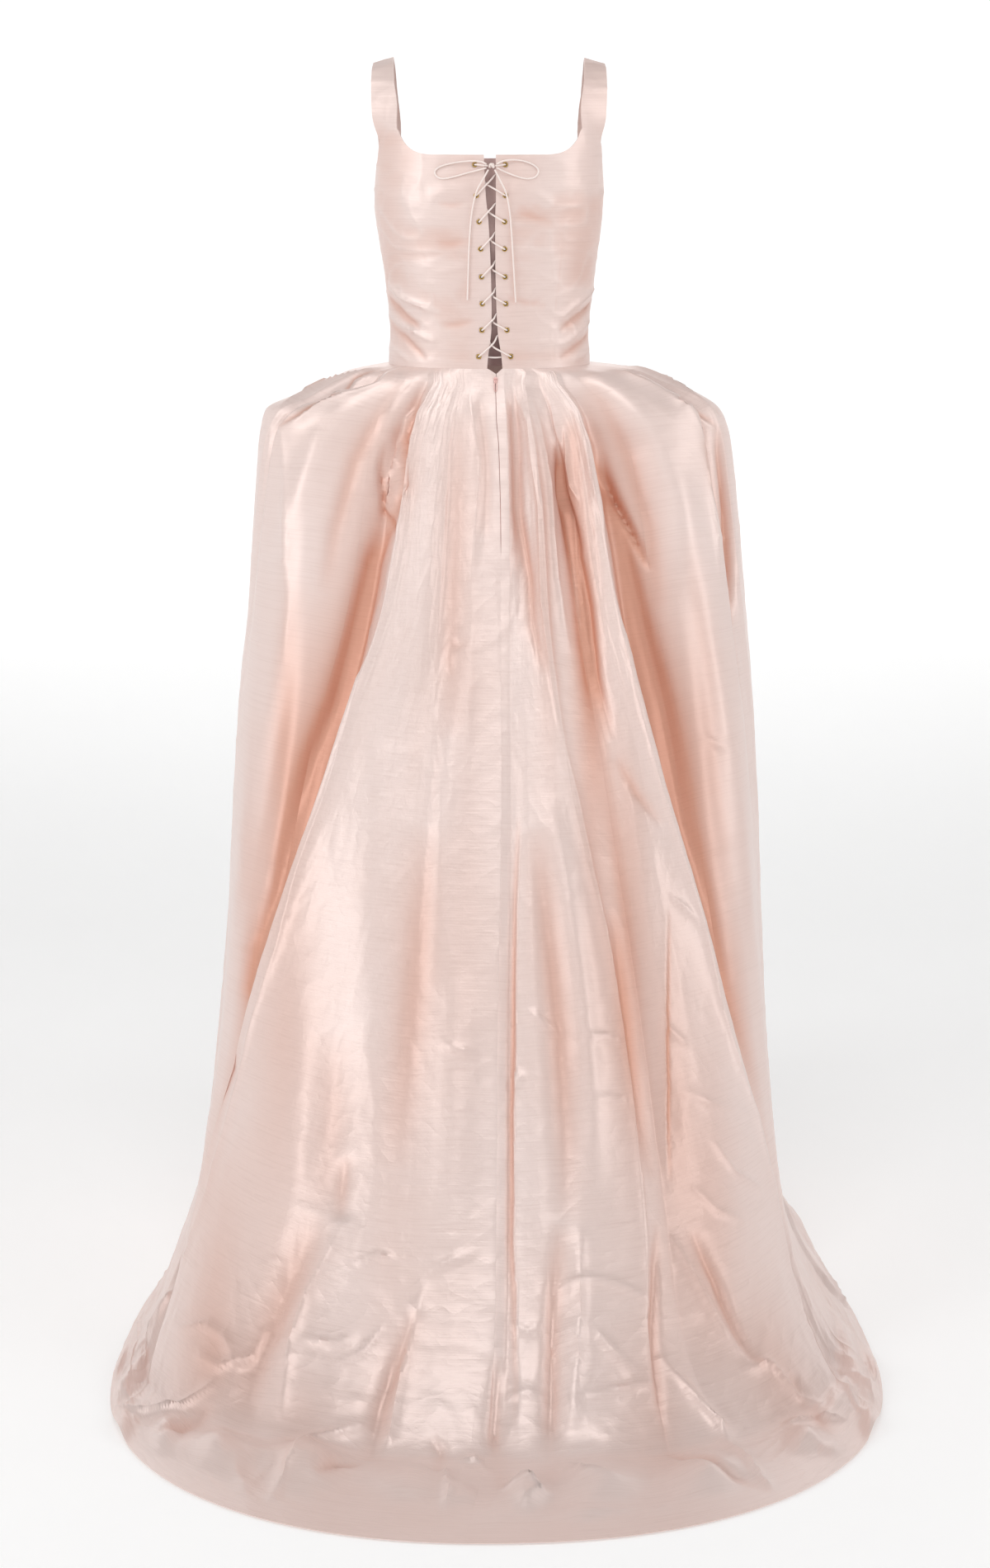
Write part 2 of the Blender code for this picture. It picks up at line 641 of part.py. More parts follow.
def cut_eyelet_holes(panel, side):
    """One cutter with a round rod for each eyelet of a panel."""
    vertices, faces, corners = [], [], 12
    for height, middle, width in LACING_ROWS:
        low, normal = placket_point(side, EYELET_INSET, height, -.006)
        high = low + normal * .012
        across, upright = round_basis(normal)
        base = len(vertices)
        for end in (low, high):
            for corner in range(corners):
                turn = 2 * math.pi * (corner + .5) / corners
                spoke = across * math.cos(turn) + upright * math.sin(turn)
                vertices.append(end + spoke * PANEL_HOLE)
        faces.append([base + corner for corner in reversed(range(corners))])
        faces.append([base + corners + corner for corner in range(corners)])
        for corner in range(corners):
            after = (corner + 1) % corners
            faces.append([base + corner, base + after, base + corners + after, base + corners + corner])
    cutter = add_object(panel.name + "_holes", vertices, faces, panel.data.materials[0])
    use_tool(panel, cutter, "DIFFERENCE")


def eyelet(name, side, height, finish):
    """A turned eyelet: a barrel through the panel with a rim on both faces."""
    inside = -BODICE_WALL - EYELET_CLEAR
    profile = (
        (EYELET_HOLE, inside - EYELET_PLATE), (EYELET_HOLE, EYELET_CLEAR + EYELET_PLATE),
        (EYELET_RIM, EYELET_CLEAR + EYELET_PLATE * .7), (EYELET_RIM, EYELET_CLEAR),
        (EYELET_BARREL, EYELET_CLEAR), (EYELET_BARREL, inside),
        (EYELET_RIM, inside), (EYELET_RIM, inside - EYELET_PLATE * .7),
    )
    centre, normal = placket_point(side, EYELET_INSET, height, 0.0)
    across, upright = round_basis(normal)
    segments = 8
    vertices, faces = [], []
    for segment in range(segments):
        turn = 2 * math.pi * segment / segments
        spoke = across * math.cos(turn) + upright * math.sin(turn)
        vertices += [centre + spoke * radius + normal * out for radius, out in profile]
    size = len(profile)
    for segment in range(segments):
        after = (segment + 1) % segments
        for point in range(size):
            following = (point + 1) % size
            faces.append([segment * size + point, after * size + point,
                          after * size + following, segment * size + following])
    return add_object(name, vertices, faces, finish)


def cord_object(name, points, radius, finish):
    curve = bpy.data.curves.new(name, "CURVE")
    curve.dimensions = "3D"
    curve.bevel_depth = radius
    curve.bevel_resolution = 2
    curve.resolution_u = 1
    curve.render_resolution_u = 0
    curve.use_fill_caps = True
    curve.materials.append(finish)
    line = curve.splines.new("POLY")
    line.points.add(len(points) - 1)
    for item, point in zip(line.points, points):
        item.co = (*point, 1)
    made = bpy.data.objects.new(name, curve)
    bpy.context.scene.collection.objects.link(made)
    return made


def even_route(points, count):
    """Points spread evenly along a smooth curve through a route's own points."""
    points = np.array(points, float)
    size = len(points)
    padded = np.vstack([2 * points[0] - points[1], points, 2 * points[-1] - points[-2]])
    dense = []
    for piece in range(size - 1):
        a, b, c, d = padded[piece:piece + 4]
        for share in np.linspace(0, 1, 16, endpoint=False):
            dense.append(0.5 * (2 * b + (c - a) * share + (2 * a - 5 * b + 4 * c - d) * share ** 2
                                + (3 * b - a - 3 * c + d) * share ** 3))
    dense = np.array(dense + [points[-1]])
    length = np.concatenate([[0], np.cumsum(np.linalg.norm(np.diff(dense, axis=0), axis=1))])
    even = np.linspace(0, length[-1], count)
    return np.stack([np.interp(even, length, dense[:, axis]) for axis in range(3)], 1)


# The lacing

def lace_strand(side, row):
    """From on top of one eyelet, over its panel's edge, down through the gap, under the
    other panel and up to the next eyelet of the other side."""
    low, high = LACING_ROWS[row][0], LACING_ROWS[row + 1][0]
    slope = LACE_LEFT_SLOPE if side > 0 else LACE_RIGHT_SLOPE
    edge_height = low + EYELET_INSET * slope
    width = gap_at(edge_height)[1]
    far_height = edge_height + width * slope

    def near(inset, out):
        return placket_point(side, inset, low + (EYELET_INSET - inset) * slope, out)[0]

    def far(inset, out):
        share = (inset + LACE_TURN_IN) / (EYELET_INSET + LACE_TURN_IN)
        return placket_point(-side, inset, far_height + (high - far_height) * share, out)[0]

    middle = (near(-width / 2, (LACE_OVER + LACE_UNDER) / 2)
              + far(-width / 2, (LACE_OVER + LACE_UNDER) / 2)) / 2
    middle[2] = (edge_height + far_height) / 2
    return [placket_point(side, EYELET_INSET, low, LACE_IN_HOLE[0])[0],
            near(EYELET_INSET - .0006, LACE_REST), near(EYELET_INSET - .0024, LACE_OVER),
            near(.0020, LACE_OVER), near(-LACE_TURN_IN, LACE_OVER - .0003), middle,
            far(-LACE_TURN_IN, LACE_UNDER + .0003), far(.0020, LACE_UNDER),
            far(EYELET_INSET - .0024, LACE_UNDER), far(EYELET_INSET - .0004, LACE_UNDER + .0004),
            placket_point(-side, EYELET_INSET, high, LACE_IN_HOLE[1])[0]]


def lace_thread(first_side):
    """The whole run that starts at a bottom eyelet, up to where it leaves the top one."""
    points, side = [], first_side
    for row in range(len(LACING_ROWS) - 1):
        points += lace_strand(side, row)
        side = -side
    return points, side


def lace_run_points():
    left, left_end = lace_thread(1)
    right, right_end = lace_thread(-1)
    bottom = LACING_ROWS[0][0]
    half = []
    for inset, out in ((0, LACE_IN_HOLE[1]), (.0010, LACE_UNDER + .0003), (.0030, LACE_UNDER)):
        half.append([placket_point(side, EYELET_INSET - inset, bottom, out)[0] for side in (1, -1)])
    joint = [pair[0] for pair in half]
    joint.append(over_back(gap_at(bottom)[0], bottom - .0015, LACE_UNDER))
    joint += [pair[1] for pair in reversed(half)]
    run = list(reversed(left)) + joint + right
    return top_tail(left_end), run, top_tail(right_end)


def top_tail(side):
    """From the top eyelet, on top of the panel, to the side of the knot."""
    height = LACING_ROWS[-1][0]
    knot_x, knot_z, knot_out = KNOT_PLACE
    stop = knot_x + side * (KNOT_SIZE[0] * (1 - KNOT_GROOVE) + KNOT_CLEAR)
    return [placket_point(side, EYELET_INSET, height, LACE_IN_HOLE[0])[0],
            placket_point(side, EYELET_INSET - .0006, height, LACE_REST)[0],
            placket_point(side, EYELET_INSET - .0026, height - .0002, LACE_OVER)[0],
            over_back(stop + side * .0012, knot_z, knot_out - .0002),
            over_back(stop, knot_z, knot_out)]


def lace_run(finish):
    tail_a, run, tail_b = lace_run_points()
    points = list(reversed(tail_a)) + run + tail_b
    kept = [points[0]]
    for point in points[1:]:
        if np.linalg.norm(point - kept[-1]) > 0.0003:
            kept.append(point)
    return cord_object("lace_run", kept, LACE_RADIUS, finish)


# Bow: routes as x, height, and distance out of the cloth
BOW_ROUTES = {
    "lace_loop_left": ((.0030, .2492, .0060), (.0100, .2522, .0042), (.0240, .2530, .0030),
                       (.0420, .2510, .0024), (.0580, .2470, .0021), (.0655, .2415, .0020),
                       (.0640, .2350, .0020), (.0560, .2320, .0020), (.0420, .2345, .0020),
                       (.0260, .2390, .0024), (.0120, .2425, .0036), (.0032, .2448, .0050)),
    "lace_loop_right": ((-.0092, .2492, .0060), (-.0170, .2530, .0044), (-.0300, .2545, .0030),
                        (-.0440, .2525, .0023), (-.0555, .2475, .0020), (-.0600, .2410, .0020),
                        (-.0560, .2340, .0020), (-.0460, .2320, .0020), (-.0330, .2350, .0022),
                        (-.0200, .2400, .0028), (-.0092, .2448, .0048)),
    "lace_end_left": ((.0006, .2425, .0062), (.0060, .2330, .0066), (.0150, .2170, .0040),
                      (.0205, .1950, .0024), (.0232, .1700, .0021), (.0246, .1450, .0021),
                      (.0256, .1150, .0020), (.0266, .0850, .0020)),
    "lace_end_right": ((-.0066, .2425, .0062), (-.0120, .2320, .0066), (-.0205, .2150, .0040),
                       (-.0250, .1930, .0024), (-.0272, .1680, .0021), (-.0290, .1400, .0021),
                       (-.0308, .1100, .0020), (-.0325, .0820, .0020)),
}


def bow_piece(name, finish):
    route = [over_back(*place) for place in BOW_ROUTES[name]]
    spread = sum(np.linalg.norm(b - a) for a, b in zip(route, route[1:]))
    return cord_object(name, even_route(route, int(spread / .0082)), LACE_RADIUS, finish)


def lace_knot(finish):
    """A flattened ball with a groove round it, where the lace is tied."""
    rows, segments = 8, 12
    centre = over_back(*KNOT_PLACE)
    vertices, faces = [centre + np.array([0, 0, KNOT_SIZE[2]])], []
    for row in range(1, rows):
        tilt = math.pi * row / rows
        for segment in range(segments):
            turn = 2 * math.pi * segment / segments
            waist = 1 - KNOT_GROOVE * math.cos(2 * turn) ** 2
            vertices.append(centre + np.array([
                KNOT_SIZE[0] * math.sin(tilt) * math.cos(turn) * waist,
                KNOT_SIZE[1] * math.sin(tilt) * math.sin(turn) * waist,
                KNOT_SIZE[2] * math.cos(tilt)]))
    vertices.append(centre - np.array([0, 0, KNOT_SIZE[2]]))
    for segment in range(segments):
        after = (segment + 1) % segments
        faces.append([0, 1 + segment, 1 + after])
        for row in range(rows - 2):
            start = 1 + row * segments
            faces.append([start + segment, start + segments + segment,
                          start + segments + after, start + after])
        last = 1 + (rows - 2) * segments
        faces.append([last + segment, len(vertices) - 1, last + after])
    return add_object("lace_knot", vertices, faces, finish)


def modesty_panel(finish):
    """The placket behind the gap. Its two sides come up to the back panels."""
    outer, inner, quads = {}, {}, []
    shares = (-1, -.87, -.55, 0, .55, .87, 1)
    depths = (MODESTY_SIDE, MODESTY_SIDE) + (MODESTY_DEPTH,) * 3
    depths += (MODESTY_SIDE, MODESTY_SIDE)
    rows = 9
    for column, (share, depth) in enumerate(zip(shares, depths)):
        for row in range(rows):
            height = MODESTY_BOTTOM + (MODESTY_TOP - MODESTY_BOTTOM) * row / (rows - 1)
            x = gap_at(height)[0] + share * MODESTY_HALF
            normal = bodice_normal(x, height, True)
            point = bodice_by_x(x, height) - normal * depth
            outer[(column, row)] = point
            inner[(column, row)] = point - normal * MODESTY_WALL
    for column in range(len(shares) - 1):
        for row in range(rows - 1):
            quads.append(((column, row), (column, row + 1), (column + 1, row + 1), (column + 1, row)))
    return wall_from_grid("modesty_panel", outer, inner, quads, finish)


# The zip

def seam_frame(outer, height):
    """A place on the centre-back seam: its point, the way down it and the way out."""
    column = outer[FOLD_NAMES.index("seam_centre") * 2]
    row = next(r for r in range(len(column) - 1) if column[r + 1][2] < height)
    share = (height - column[row][2]) / (column[row + 1][2] - column[row][2])
    point = column[row] + (column[row + 1] - column[row]) * share
    down = column[row + 1] - column[row]
    down /= np.linalg.norm(down)
    out = np.cross(down, np.array([1.0, 0, 0]))
    out /= np.linalg.norm(out)
    return point, down, out if out[1] > 0 else -out


def zip_tape(outer, inner, finish):
    """The tape behind the seam. It follows the inside of both back panels."""
    column = FOLD_NAMES.index("seam_centre") * 2
    points_out, points_in, quads = {}, {}, []
    last = next(r for r in range(inner.shape[1]) if inner[column, r, 2] < ZIP_BOTTOM)
    for place, beside in enumerate((-1, 0, 1)):
        way = inner[column + beside] - inner[column]
        reach = np.maximum(np.linalg.norm(way, axis=1, keepdims=True), 1e-6)
        share = ZIP_TAPE_HALF / reach if beside else 0 * reach
        face = inner[column] + way * share
        out = outer[column] - inner[column]
        out = out + (outer[column + beside] - inner[column + beside] - out) * share
        out /= np.linalg.norm(out, axis=1, keepdims=True)
        for row in range(1, last + 1):
            point, normal = face[row], out[row]
            if row in (1, last):
                end = ZIP_TOP if row == 1 else ZIP_BOTTOM
                other = face[2] if row == 1 else face[last - 1]
                point = point + (other - point) * (end - point[2]) / (other[2] - point[2])
            points_out[(place, row)] = point - normal * ZIP_TAPE_CLEAR
            points_in[(place, row)] = point - normal * (ZIP_TAPE_CLEAR + ZIP_TAPE_WALL)
    for place in range(2):
        for row in range(1, last):
            quads.append(((place, row), (place, row + 1), (place + 1, row + 1), (place + 1, row)))
    return wall_from_grid("zip_tape", points_out, points_in, quads, finish)


def box_points(centre, axes, halves):
    corners = []
    for i in (-1, 1):
        for j in (-1, 1):
            for k in (-1, 1):
                corners.append(centre + axes[0] * i * halves[0] + axes[1] * j * halves[1]
                               + axes[2] * k * halves[2])
    faces = [[0, 1, 3, 2], [4, 6, 7, 5], [0, 4, 5, 1], [2, 3, 7, 6], [0, 2, 6, 4], [1, 5, 7, 3]]
    return corners, faces


def slider_places(outer):
    point, down, out = seam_frame(outer, ZIP_TOP - .0035)
    across = np.array([1.0, 0, 0])
    plate = point + out * (SLIDER_CLEAR + SLIDER_WALL / 2)
    bar = point + out * (SLIDER_CLEAR + SLIDER_WALL + BAR_RISE) - down * .0015
    return across, down, out, plate, bar


def zip_slider(outer, finish):
    """The slider's plate, with two posts and the bar that the pull hangs on."""
    across, down, out, plate, bar = slider_places(outer)
    width, length = SLIDER_WIDTH / 2, SLIDER_LENGTH / 2
    outline = ((-.45, -1), (.45, -1), (1, -.55), (1, .45), (.55, 1), (-.55, 1), (-1, .45), (-1, -.55))
    vertices = []
    for level in (-1, 1):
        for side, along in outline:
            vertices.append(plate + across * side * width + down * along * length
                            + out * level * SLIDER_WALL / 2)
    count = len(outline)
    faces = [list(range(count)), list(reversed(range(count, 2 * count)))]
    for point in range(count):
        after = (point + 1) % count
        faces.append([point, count + point, count + after, after])
    body = add_object("zip_slider", vertices, faces, finish)
    rise = float(np.dot(bar - plate, out)) - SLIDER_WALL / 2
    blocks = [("bar", bar, (POST_PLACE + POST_HALF[0] / 2, BAR_HALF, BAR_HALF))]
    for name, side in (("post_left", 1), ("post_right", -1)):
        middle = bar + across * side * POST_PLACE - out * (rise / 2 + .0001)
        blocks.append((name, middle, (*POST_HALF, rise / 2 + .0006)))
    for name, centre, halves in blocks:
        corners, faces = box_points(centre, (across, down, out), halves)
        tool = add_object(f"zip_slider_{name}", corners, faces, finish)
        use_tool(body, tool, "UNION")
    return body


def use_tool(body, tool, operation):
    """An exact boolean on a body with a tool that stays hidden."""
    tool.hide_render = True
    tool.display_type = "WIRE"
    step = body.modifiers.new(tool.name, "BOOLEAN")
    step.operation = operation
    step.solver = "EXACT"
    step.object = tool


def ring_outline(count, reach, half, tip):
    """A teardrop outline: narrow at its eye end, round at its low end."""
    points = []
    for step in range(count):
        turn = 2 * math.pi * step / count
        along = .5 - .5 * math.cos(turn)
        width = half * math.sin(turn) * (.52 + .48 * along ** .8)
        points.append((width, tip + reach * along))
    return points


def zip_pull(outer, finish):
    """The teardrop pull: a flat ring with an eye round the slider's bar."""
    across, down, out, _, bar = slider_places(outer)
    lean = Matrix.Rotation(math.radians(PULL_LEAN), 3, Vector(across))
    ways = np.array(lean @ Vector(down)), np.array(lean @ Vector(out))
    if np.dot(ways[0], out) > 0:
        lean = Matrix.Rotation(math.radians(-PULL_LEAN), 3, Vector(across))
        ways = np.array(lean @ Vector(down)), np.array(lean @ Vector(out))
    down, out = ways
    count = 20
    start = PULL_EYE + .0001
    outer_ring = ring_outline(count, PULL_LENGTH, PULL_WIDTH / 2, start)
    inner_ring = ring_outline(count, PULL_LENGTH - 2 * PULL_RIM - .0012, PULL_WIDTH / 2 - PULL_RIM,
                              start + PULL_RIM + .0012)
    vertices, faces = [], []
    for level in (-1, 1):
        for ring in (outer_ring, inner_ring):
            for side, along in ring:
                vertices.append(bar + across * side + down * along + out * level * PULL_WALL / 2)
    for point in range(count):
        after = (point + 1) % count
        low_out, low_in, high_out, high_in = (base * count for base in range(4))
        faces.append([low_out + point, low_out + after, low_in + after, low_in + point])
        faces.append([high_out + point, high_in + point, high_in + after, high_out + after])
        faces.append([low_out + point, high_out + point, high_out + after, low_out + after])
        faces.append([low_in + point, low_in + after, high_in + after, high_in + point])
    body = add_object("zip_pull", vertices, faces, finish, origin=bar)
    eye_vertices, eye_faces, segments = [], [], 12
    for segment in range(segments):
        turn = 2 * math.pi * segment / segments
        spoke = down * math.cos(turn) + out * math.sin(turn)
        for radius, side in ((PULL_EYE, -.5), (PULL_EYE_RIM, -.5), (PULL_EYE_RIM, .5), (PULL_EYE, .5)):
            eye_vertices.append(bar + spoke * radius + across * side * PULL_WALL)
    for segment in range(segments):
        after = (segment + 1) % segments
        for point in range(4):
            following = (point + 1) % 4
            eye_faces.append([segment * 4 + point, after * 4 + point,
                              after * 4 + following, segment * 4 + following])
    eye = add_object("zip_pull_eye", eye_vertices, eye_faces, finish)
    use_tool(body, eye, "UNION")
    return body


def main():
    clear_scene()
    silk = material("silk", SILK, .38)
    shade = material("silk_shade", SILK_SHADE, .45)
    cord = material("lace_cord", CORD, .40)
    gold = material("gold_metal", GOLD, .25, 1.0)
    pink = material("pink_metal", PINK_METAL, .35, .4)
    outer, inner = skirt_grid()
    for name, start, end in SKIRT_PANELS:
        skirt_panel(name, start, end, outer, inner, silk)
    back_panel("bodice_back_left", 1, silk)
    back_panel("bodice_back_right", -1, silk)
    front_panel("bodice_front", silk)
    modesty_panel(shade)
    for row, (height, middle, width) in enumerate(LACING_ROWS):
        eyelet(f"eyelet_left_{row + 1}", 1, height, gold)
        eyelet(f"eyelet_right_{row + 1}", -1, height, gold)
    lace_run(cord)
    lace_knot(cord)
    for name in BOW_ROUTES:
        bow_piece(name, cord)
    zip_tape(outer, inner, cord)
    zip_slider(outer, pink)
    zip_pull(outer, pink)


main()
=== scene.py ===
"""Dresses the laced silk gown over its fixed frame.

Every operator builds one piece or one group of like pieces, in metres, in the frame's own
space: +Z is up, the wearer's left is +X and the back with its train faces +Y.
"""
import json
import math

import bmesh
import bpy
import numpy as np
from bpy.props import FloatProperty, FloatVectorProperty, IntProperty, PointerProperty
from bpy.types import Operator, Panel, PropertyGroup
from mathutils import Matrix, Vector


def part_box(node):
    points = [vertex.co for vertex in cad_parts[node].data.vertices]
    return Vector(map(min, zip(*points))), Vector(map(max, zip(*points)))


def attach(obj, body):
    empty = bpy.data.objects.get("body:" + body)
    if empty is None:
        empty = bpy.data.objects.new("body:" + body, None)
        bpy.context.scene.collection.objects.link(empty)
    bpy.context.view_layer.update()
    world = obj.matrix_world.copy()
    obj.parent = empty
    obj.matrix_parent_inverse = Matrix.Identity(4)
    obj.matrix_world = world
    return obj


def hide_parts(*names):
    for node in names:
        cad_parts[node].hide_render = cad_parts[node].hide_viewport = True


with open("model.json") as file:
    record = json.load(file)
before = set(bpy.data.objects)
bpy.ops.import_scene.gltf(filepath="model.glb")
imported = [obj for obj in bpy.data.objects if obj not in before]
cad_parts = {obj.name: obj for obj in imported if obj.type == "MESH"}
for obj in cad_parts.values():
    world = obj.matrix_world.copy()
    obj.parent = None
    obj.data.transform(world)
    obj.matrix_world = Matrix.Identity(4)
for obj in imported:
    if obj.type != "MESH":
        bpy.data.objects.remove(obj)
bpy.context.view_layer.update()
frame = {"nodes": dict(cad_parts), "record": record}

bl_info = {
    "name": "Silk gown",
    "version": (1, 0, 0),
    "blender": (4, 5, 0),
    "location": "3D View > Sidebar > Gown",
    "description": "Dresses a laced silk gown with a train over its fixed frame",
    "category": "Object",
}

GOWN_BODY = "gown"
PULL_BODY = "zip_pull"
STORE = {}                   # the finishes and the skirt's form, which operators share

# Sizes that the gown shares with its solids
WAIST_HEIGHT = 1.12          # waist seam above the floor
FLOOR = -WAIST_HEIGHT
BODICE_WALL = 0.0016
SEAM_GAP = 0.00036           # between two sewn panels
NECKLINE = 0.261             # back neckline above the waist seam
FRONT_NECKLINE = 0.214
UNDERARM = 0.222
WAIST_NOTCH = 0.0066         # depth of the notch over the zip

# Skirt sections, one row a ring, from the waist to the hem. The last rows lie on the
# floor behind and hang in front. "square" is the exponent of the rounded oval.
SKIRT_COLUMNS = ("z_back", "z_front", "left", "right", "front", "side", "back", "square")
SKIRT_ROWS = {
    "waist":       (0.0000, 0.000, .1273, .1273, -.100, .000, .0920, 2.15),
    "hip_rise":    (-.0075, -.0075, .170, .184, -.107, .000, .0945, 2.20),
    "hip_slope":   (-.0220, -.022, .204, .224, -.118, .000, .1010, 2.30),
    "hip_fall":    (-.0400, -.040, .244, .264, -.130, .000, .1100, 2.40),
    "hip_corner":  (-.0585, -.0585, .282, .290, -.142, .000, .1200, 2.45),
    "hip_under":   (-.0850, -.085, .289, .301, -.152, .000, .1320, 2.45),
    "hip":         (-.1890, -.189, .299, .315, -.172, .000, .1820, 2.45),
    "thigh":       (-.3170, -.317, .309, .327, -.192, .005, .2500, 2.40),
    "above_knee":  (-.4470, -.447, .323, .338, -.208, .015, .3250, 2.40),
    "knee":        (-.6110, -.611, .333, .345, -.228, .030, .4280, 2.40),
    "calf":        (-.7780, -.778, .341, .352, -.246, .060, .5350, 2.40),
    "shin":        (-.9135, -.900, .353, .358, -.262, .140, .6350, 2.40),
    "ankle":       (-1.016, -.985, .367, .365, -.272, .300, .7250, 2.35),
    "above_floor": (-1.075, -1.035, .387, .384, -.280, .420, .7900, 2.30),
    "touch_down":  (FLOOR, -1.070, .404, .416, -.286, .530, .8700, 2.25),
    "train":       (FLOOR, -1.098, .422, .438, -.289, .580, .9600, 2.20),
    "hem":         (FLOOR, FLOOR, .434, .452, -.290, .600, 1.058, 2.17),
}
SIDE_ON_FLOOR = 75.0         # the rows lie on the floor up to this angle from the back
SIDE_HANGING = 115.0         # and hang from this angle on
LEVEL_SAMPLES = 1601         # along the train, to measure its length
HIP_CROWDING = .45, .16      # how much closer the hips' rows are, over this share of them

# Folds, one entry a line that runs from the waist to the hem. Its angles from the back
# come first and then its heights out of the section (in mm, down into it if negative),
# both at these section rows.
FOLD_STATIONS = (0, 2, 4, 6, 8, 10, 12, 14, 16)
FOLDS = {
    "hip_corner_right": (
        (-89, -88, -88, -88, -89, -92, -97, -99, -101),
        (0, 1, 1, 0, 0, 0, 0, 0, 0)),
    "hip_layer_right": (
        (-76, -72, -72, -73, -79, -86, -92, -95, -97),
        (0, 2, 3, 4, 3, 1, 0, 0, 0)),
    "hip_tuck_right": (
        (-66, -60.5, -61.5, -65.5, -72, -81, -88, -91, -93),
        (0, -5, -7, -8, -3, 0, 0, 0, 0)),
    "hip_pleat_right": (
        (-60, -56.5, -57.5, -62, -68, -77, -85, -88, -90.5),
        (0, 3, 4, 4, 2, 0, 0, 2, 0)),
    "side_face_right": (
        (-52, -43, -44, -48, -58, -70, -81, -84, -87),
        (0, 1, 3, 5, 6, 4, 2, 4, 0)),
    "valley_out_right": (
        (-42, -30, -29.5, -34, -45.5, -61.5, -77, -80.5, -83),
        (0, -3, -8, -16, -22, -18, -8, 0, 0)),
    "train_valley_right": (
        (-34.5, -22.5, -21, -25.6, -36.8, -55.5, -73.5, -77, -79),
        (0, -5, -14, -29, -43, -40, -22, 0, 0)),
    "train_edge_right": (
        (-31, -20, -18.4, -21.5, -31, -50.5, -69.5, -73, -75),
        (0, 3, 6, 9, 12, 14, 12, 9, 1)),
    "pleat_2_right": (
        (-26.5, -16.5, -15.2, -17.8, -25, -34, -46, -50, -52),
        (0, 2, 3, 4, 5, 5, 3, 0, 0)),
    "valley_2_right": (
        (-22, -13.5, -11.5, -14.2, -20, -28, -33, -36, -38),
        (0, -3, -9, -14, -10, -5, -4, 5, 0)),
    "pleat_1_right": (
        (-17, -9, -6.6, -8.1, -12, -22.8, -25.5, -26, -25),
        (0, 4, 8, 9, 9, 10, 10, 8, 0)),
    "valley_1_right": (
        (-11, -5.4, -3.9, -4.2, -5.2, -6.5, -8, -9, -9),
        (0, -3, -8, -6, 2, 5, 5, 6, 0)),
    "placket_edge_right": (
        (-6.8, -3.3, -2.36, -2.6, -2.7, -2.2, -2.0, -1.2, .2),
        (0, 0, 0, 0, -3, -6, -6, 0, 0)),
    "seam_centre": (
        (-2.75, -1.2, -.82, -1.3, -1.4, -.8, -.6, .4, 2.4),
        (0, 0, 0, 0, 0, 0, 0, 0, 0)),
    "placket_edge_left": (
        (1.2, .7, .36, .3, .6, 1.5, 2.0, 3.5, 6.0),
        (0, 0, 0, 0, 0, 0, 0, 0, 0)),
    "soft_valley_left": (
        (12, 6.5, 5, 6, 8, 12, 15, 18, 20),
        (0, -1, -3, -4, -4, -3, -3, 0, 0)),
    "soft_crest_left": (
        (20, 11, 9, 11, 17, 28, 38, 42, 44),
        (0, 1, 2, 3, 4, 5, 5, 7, 0)),
    "train_edge_left": (
        (27.4, 17, 14.2, 17, 30, 53.5, 70.5, 73, 75),
        (0, 3, 7, 12, 16, 18, 14, 9, 1)),
    "train_valley_left": (
        (31, 20, 17.8, 22.5, 36.8, 58.5, 74, 77, 79),
        (0, -4, -12, -29, -43, -44, -26, 0, 0)),
    "valley_out_left": (
        (38, 26.5, 25, 28.5, 43.2, 63, 77.5, 80.5, 82.5),
        (0, -2, -6, -14, -22, -20, -10, 0, 0)),
    "side_face_left": (
        (46, 33, 40, 45, 58, 72, 81, 84, 86),
        (0, 1, 2, 4, 5, 4, 2, 4, 0)),
    "hip_pleat_left": (
        (54, 40, 57, 68, 74, 80, 85, 88, 90),
        (0, 4, 5, 3, 1, 0, 0, 2, 0)),
    "hip_tuck_left": (
        (59, 44.5, 61, 72, 78, 83.5, 88, 91, 93),
        (0, -6, -8, -3, 0, 0, 0, 0, 0)),
    "hip_layer_left": (
        (68, 62, 67, 78, 83, 87.5, 92, 95, 97),
        (0, 1, 2, 1, 0, 0, 0, 0, 0)),
    "hip_corner_left": (
        (88, 88, 88, 89, 90, 92, 97, 99, 101),
        (0, 1, 1, 0, 0, 0, 0, 0, 0)),
    "side_gather_left": (
        (104, 104, 104, 105, 105, 106, 108, 109, 111),
        (0, -3, -6, -7, -8, -9, -8, -6, -4)),
    "seam_side_front_left": (
        (120,) * 9,
        (0, 2, 4, 5, 7, 8, 8, 6, 5)),
    "front_gather_1_left": (
        (132,) * 9,
        (0, -2, -5, -7, -8, -9, -9, -8, -6)),
    "front_pleat_1_left": (
        (144,) * 9,
        (0, 3, 5, 6, 8, 9, 9, 8, 7)),
    "front_gather_2_left": (
        (156,) * 9,
        (0, -2, -4, -6, -8, -9, -8, -7, -6)),
    "front_pleat_2_left": (
        (168,) * 9,
        (0, 2, 3, 4, 5, 6, 6, 5, 4)),
    "front_middle": (
        (180,) * 9,
        (0, 0, -1, -2, -3, -3, -3, -2, -2)),
    "front_pleat_2_right": (
        (193,) * 9,
        (0, 2, 4, 5, 6, 6, 7, 6, 5)),
    "front_gather_2_right": (
        (205,) * 9,
        (0, -2, -5, -6, -7, -8, -9, -8, -6)),
    "front_pleat_1_right": (
        (217,) * 9,
        (0, 3, 4, 6, 7, 9, 8, 8, 6)),
    "front_gather_1_right": (
        (228,) * 9,
        (0, -2, -4, -7, -9, -9, -8, -7, -6)),
    "seam_side_front_right": (
        (240,) * 9,
        (0, 2, 4, 6, 7, 7, 8, 7, 5)),
    "side_gather_right": (
        (256, 256, 256, 255, 255, 254, 252, 251, 249),
        (0, -3, -5, -7, -9, -9, -8, -6, -4)),
}
FOLD_NAMES = list(FOLDS)
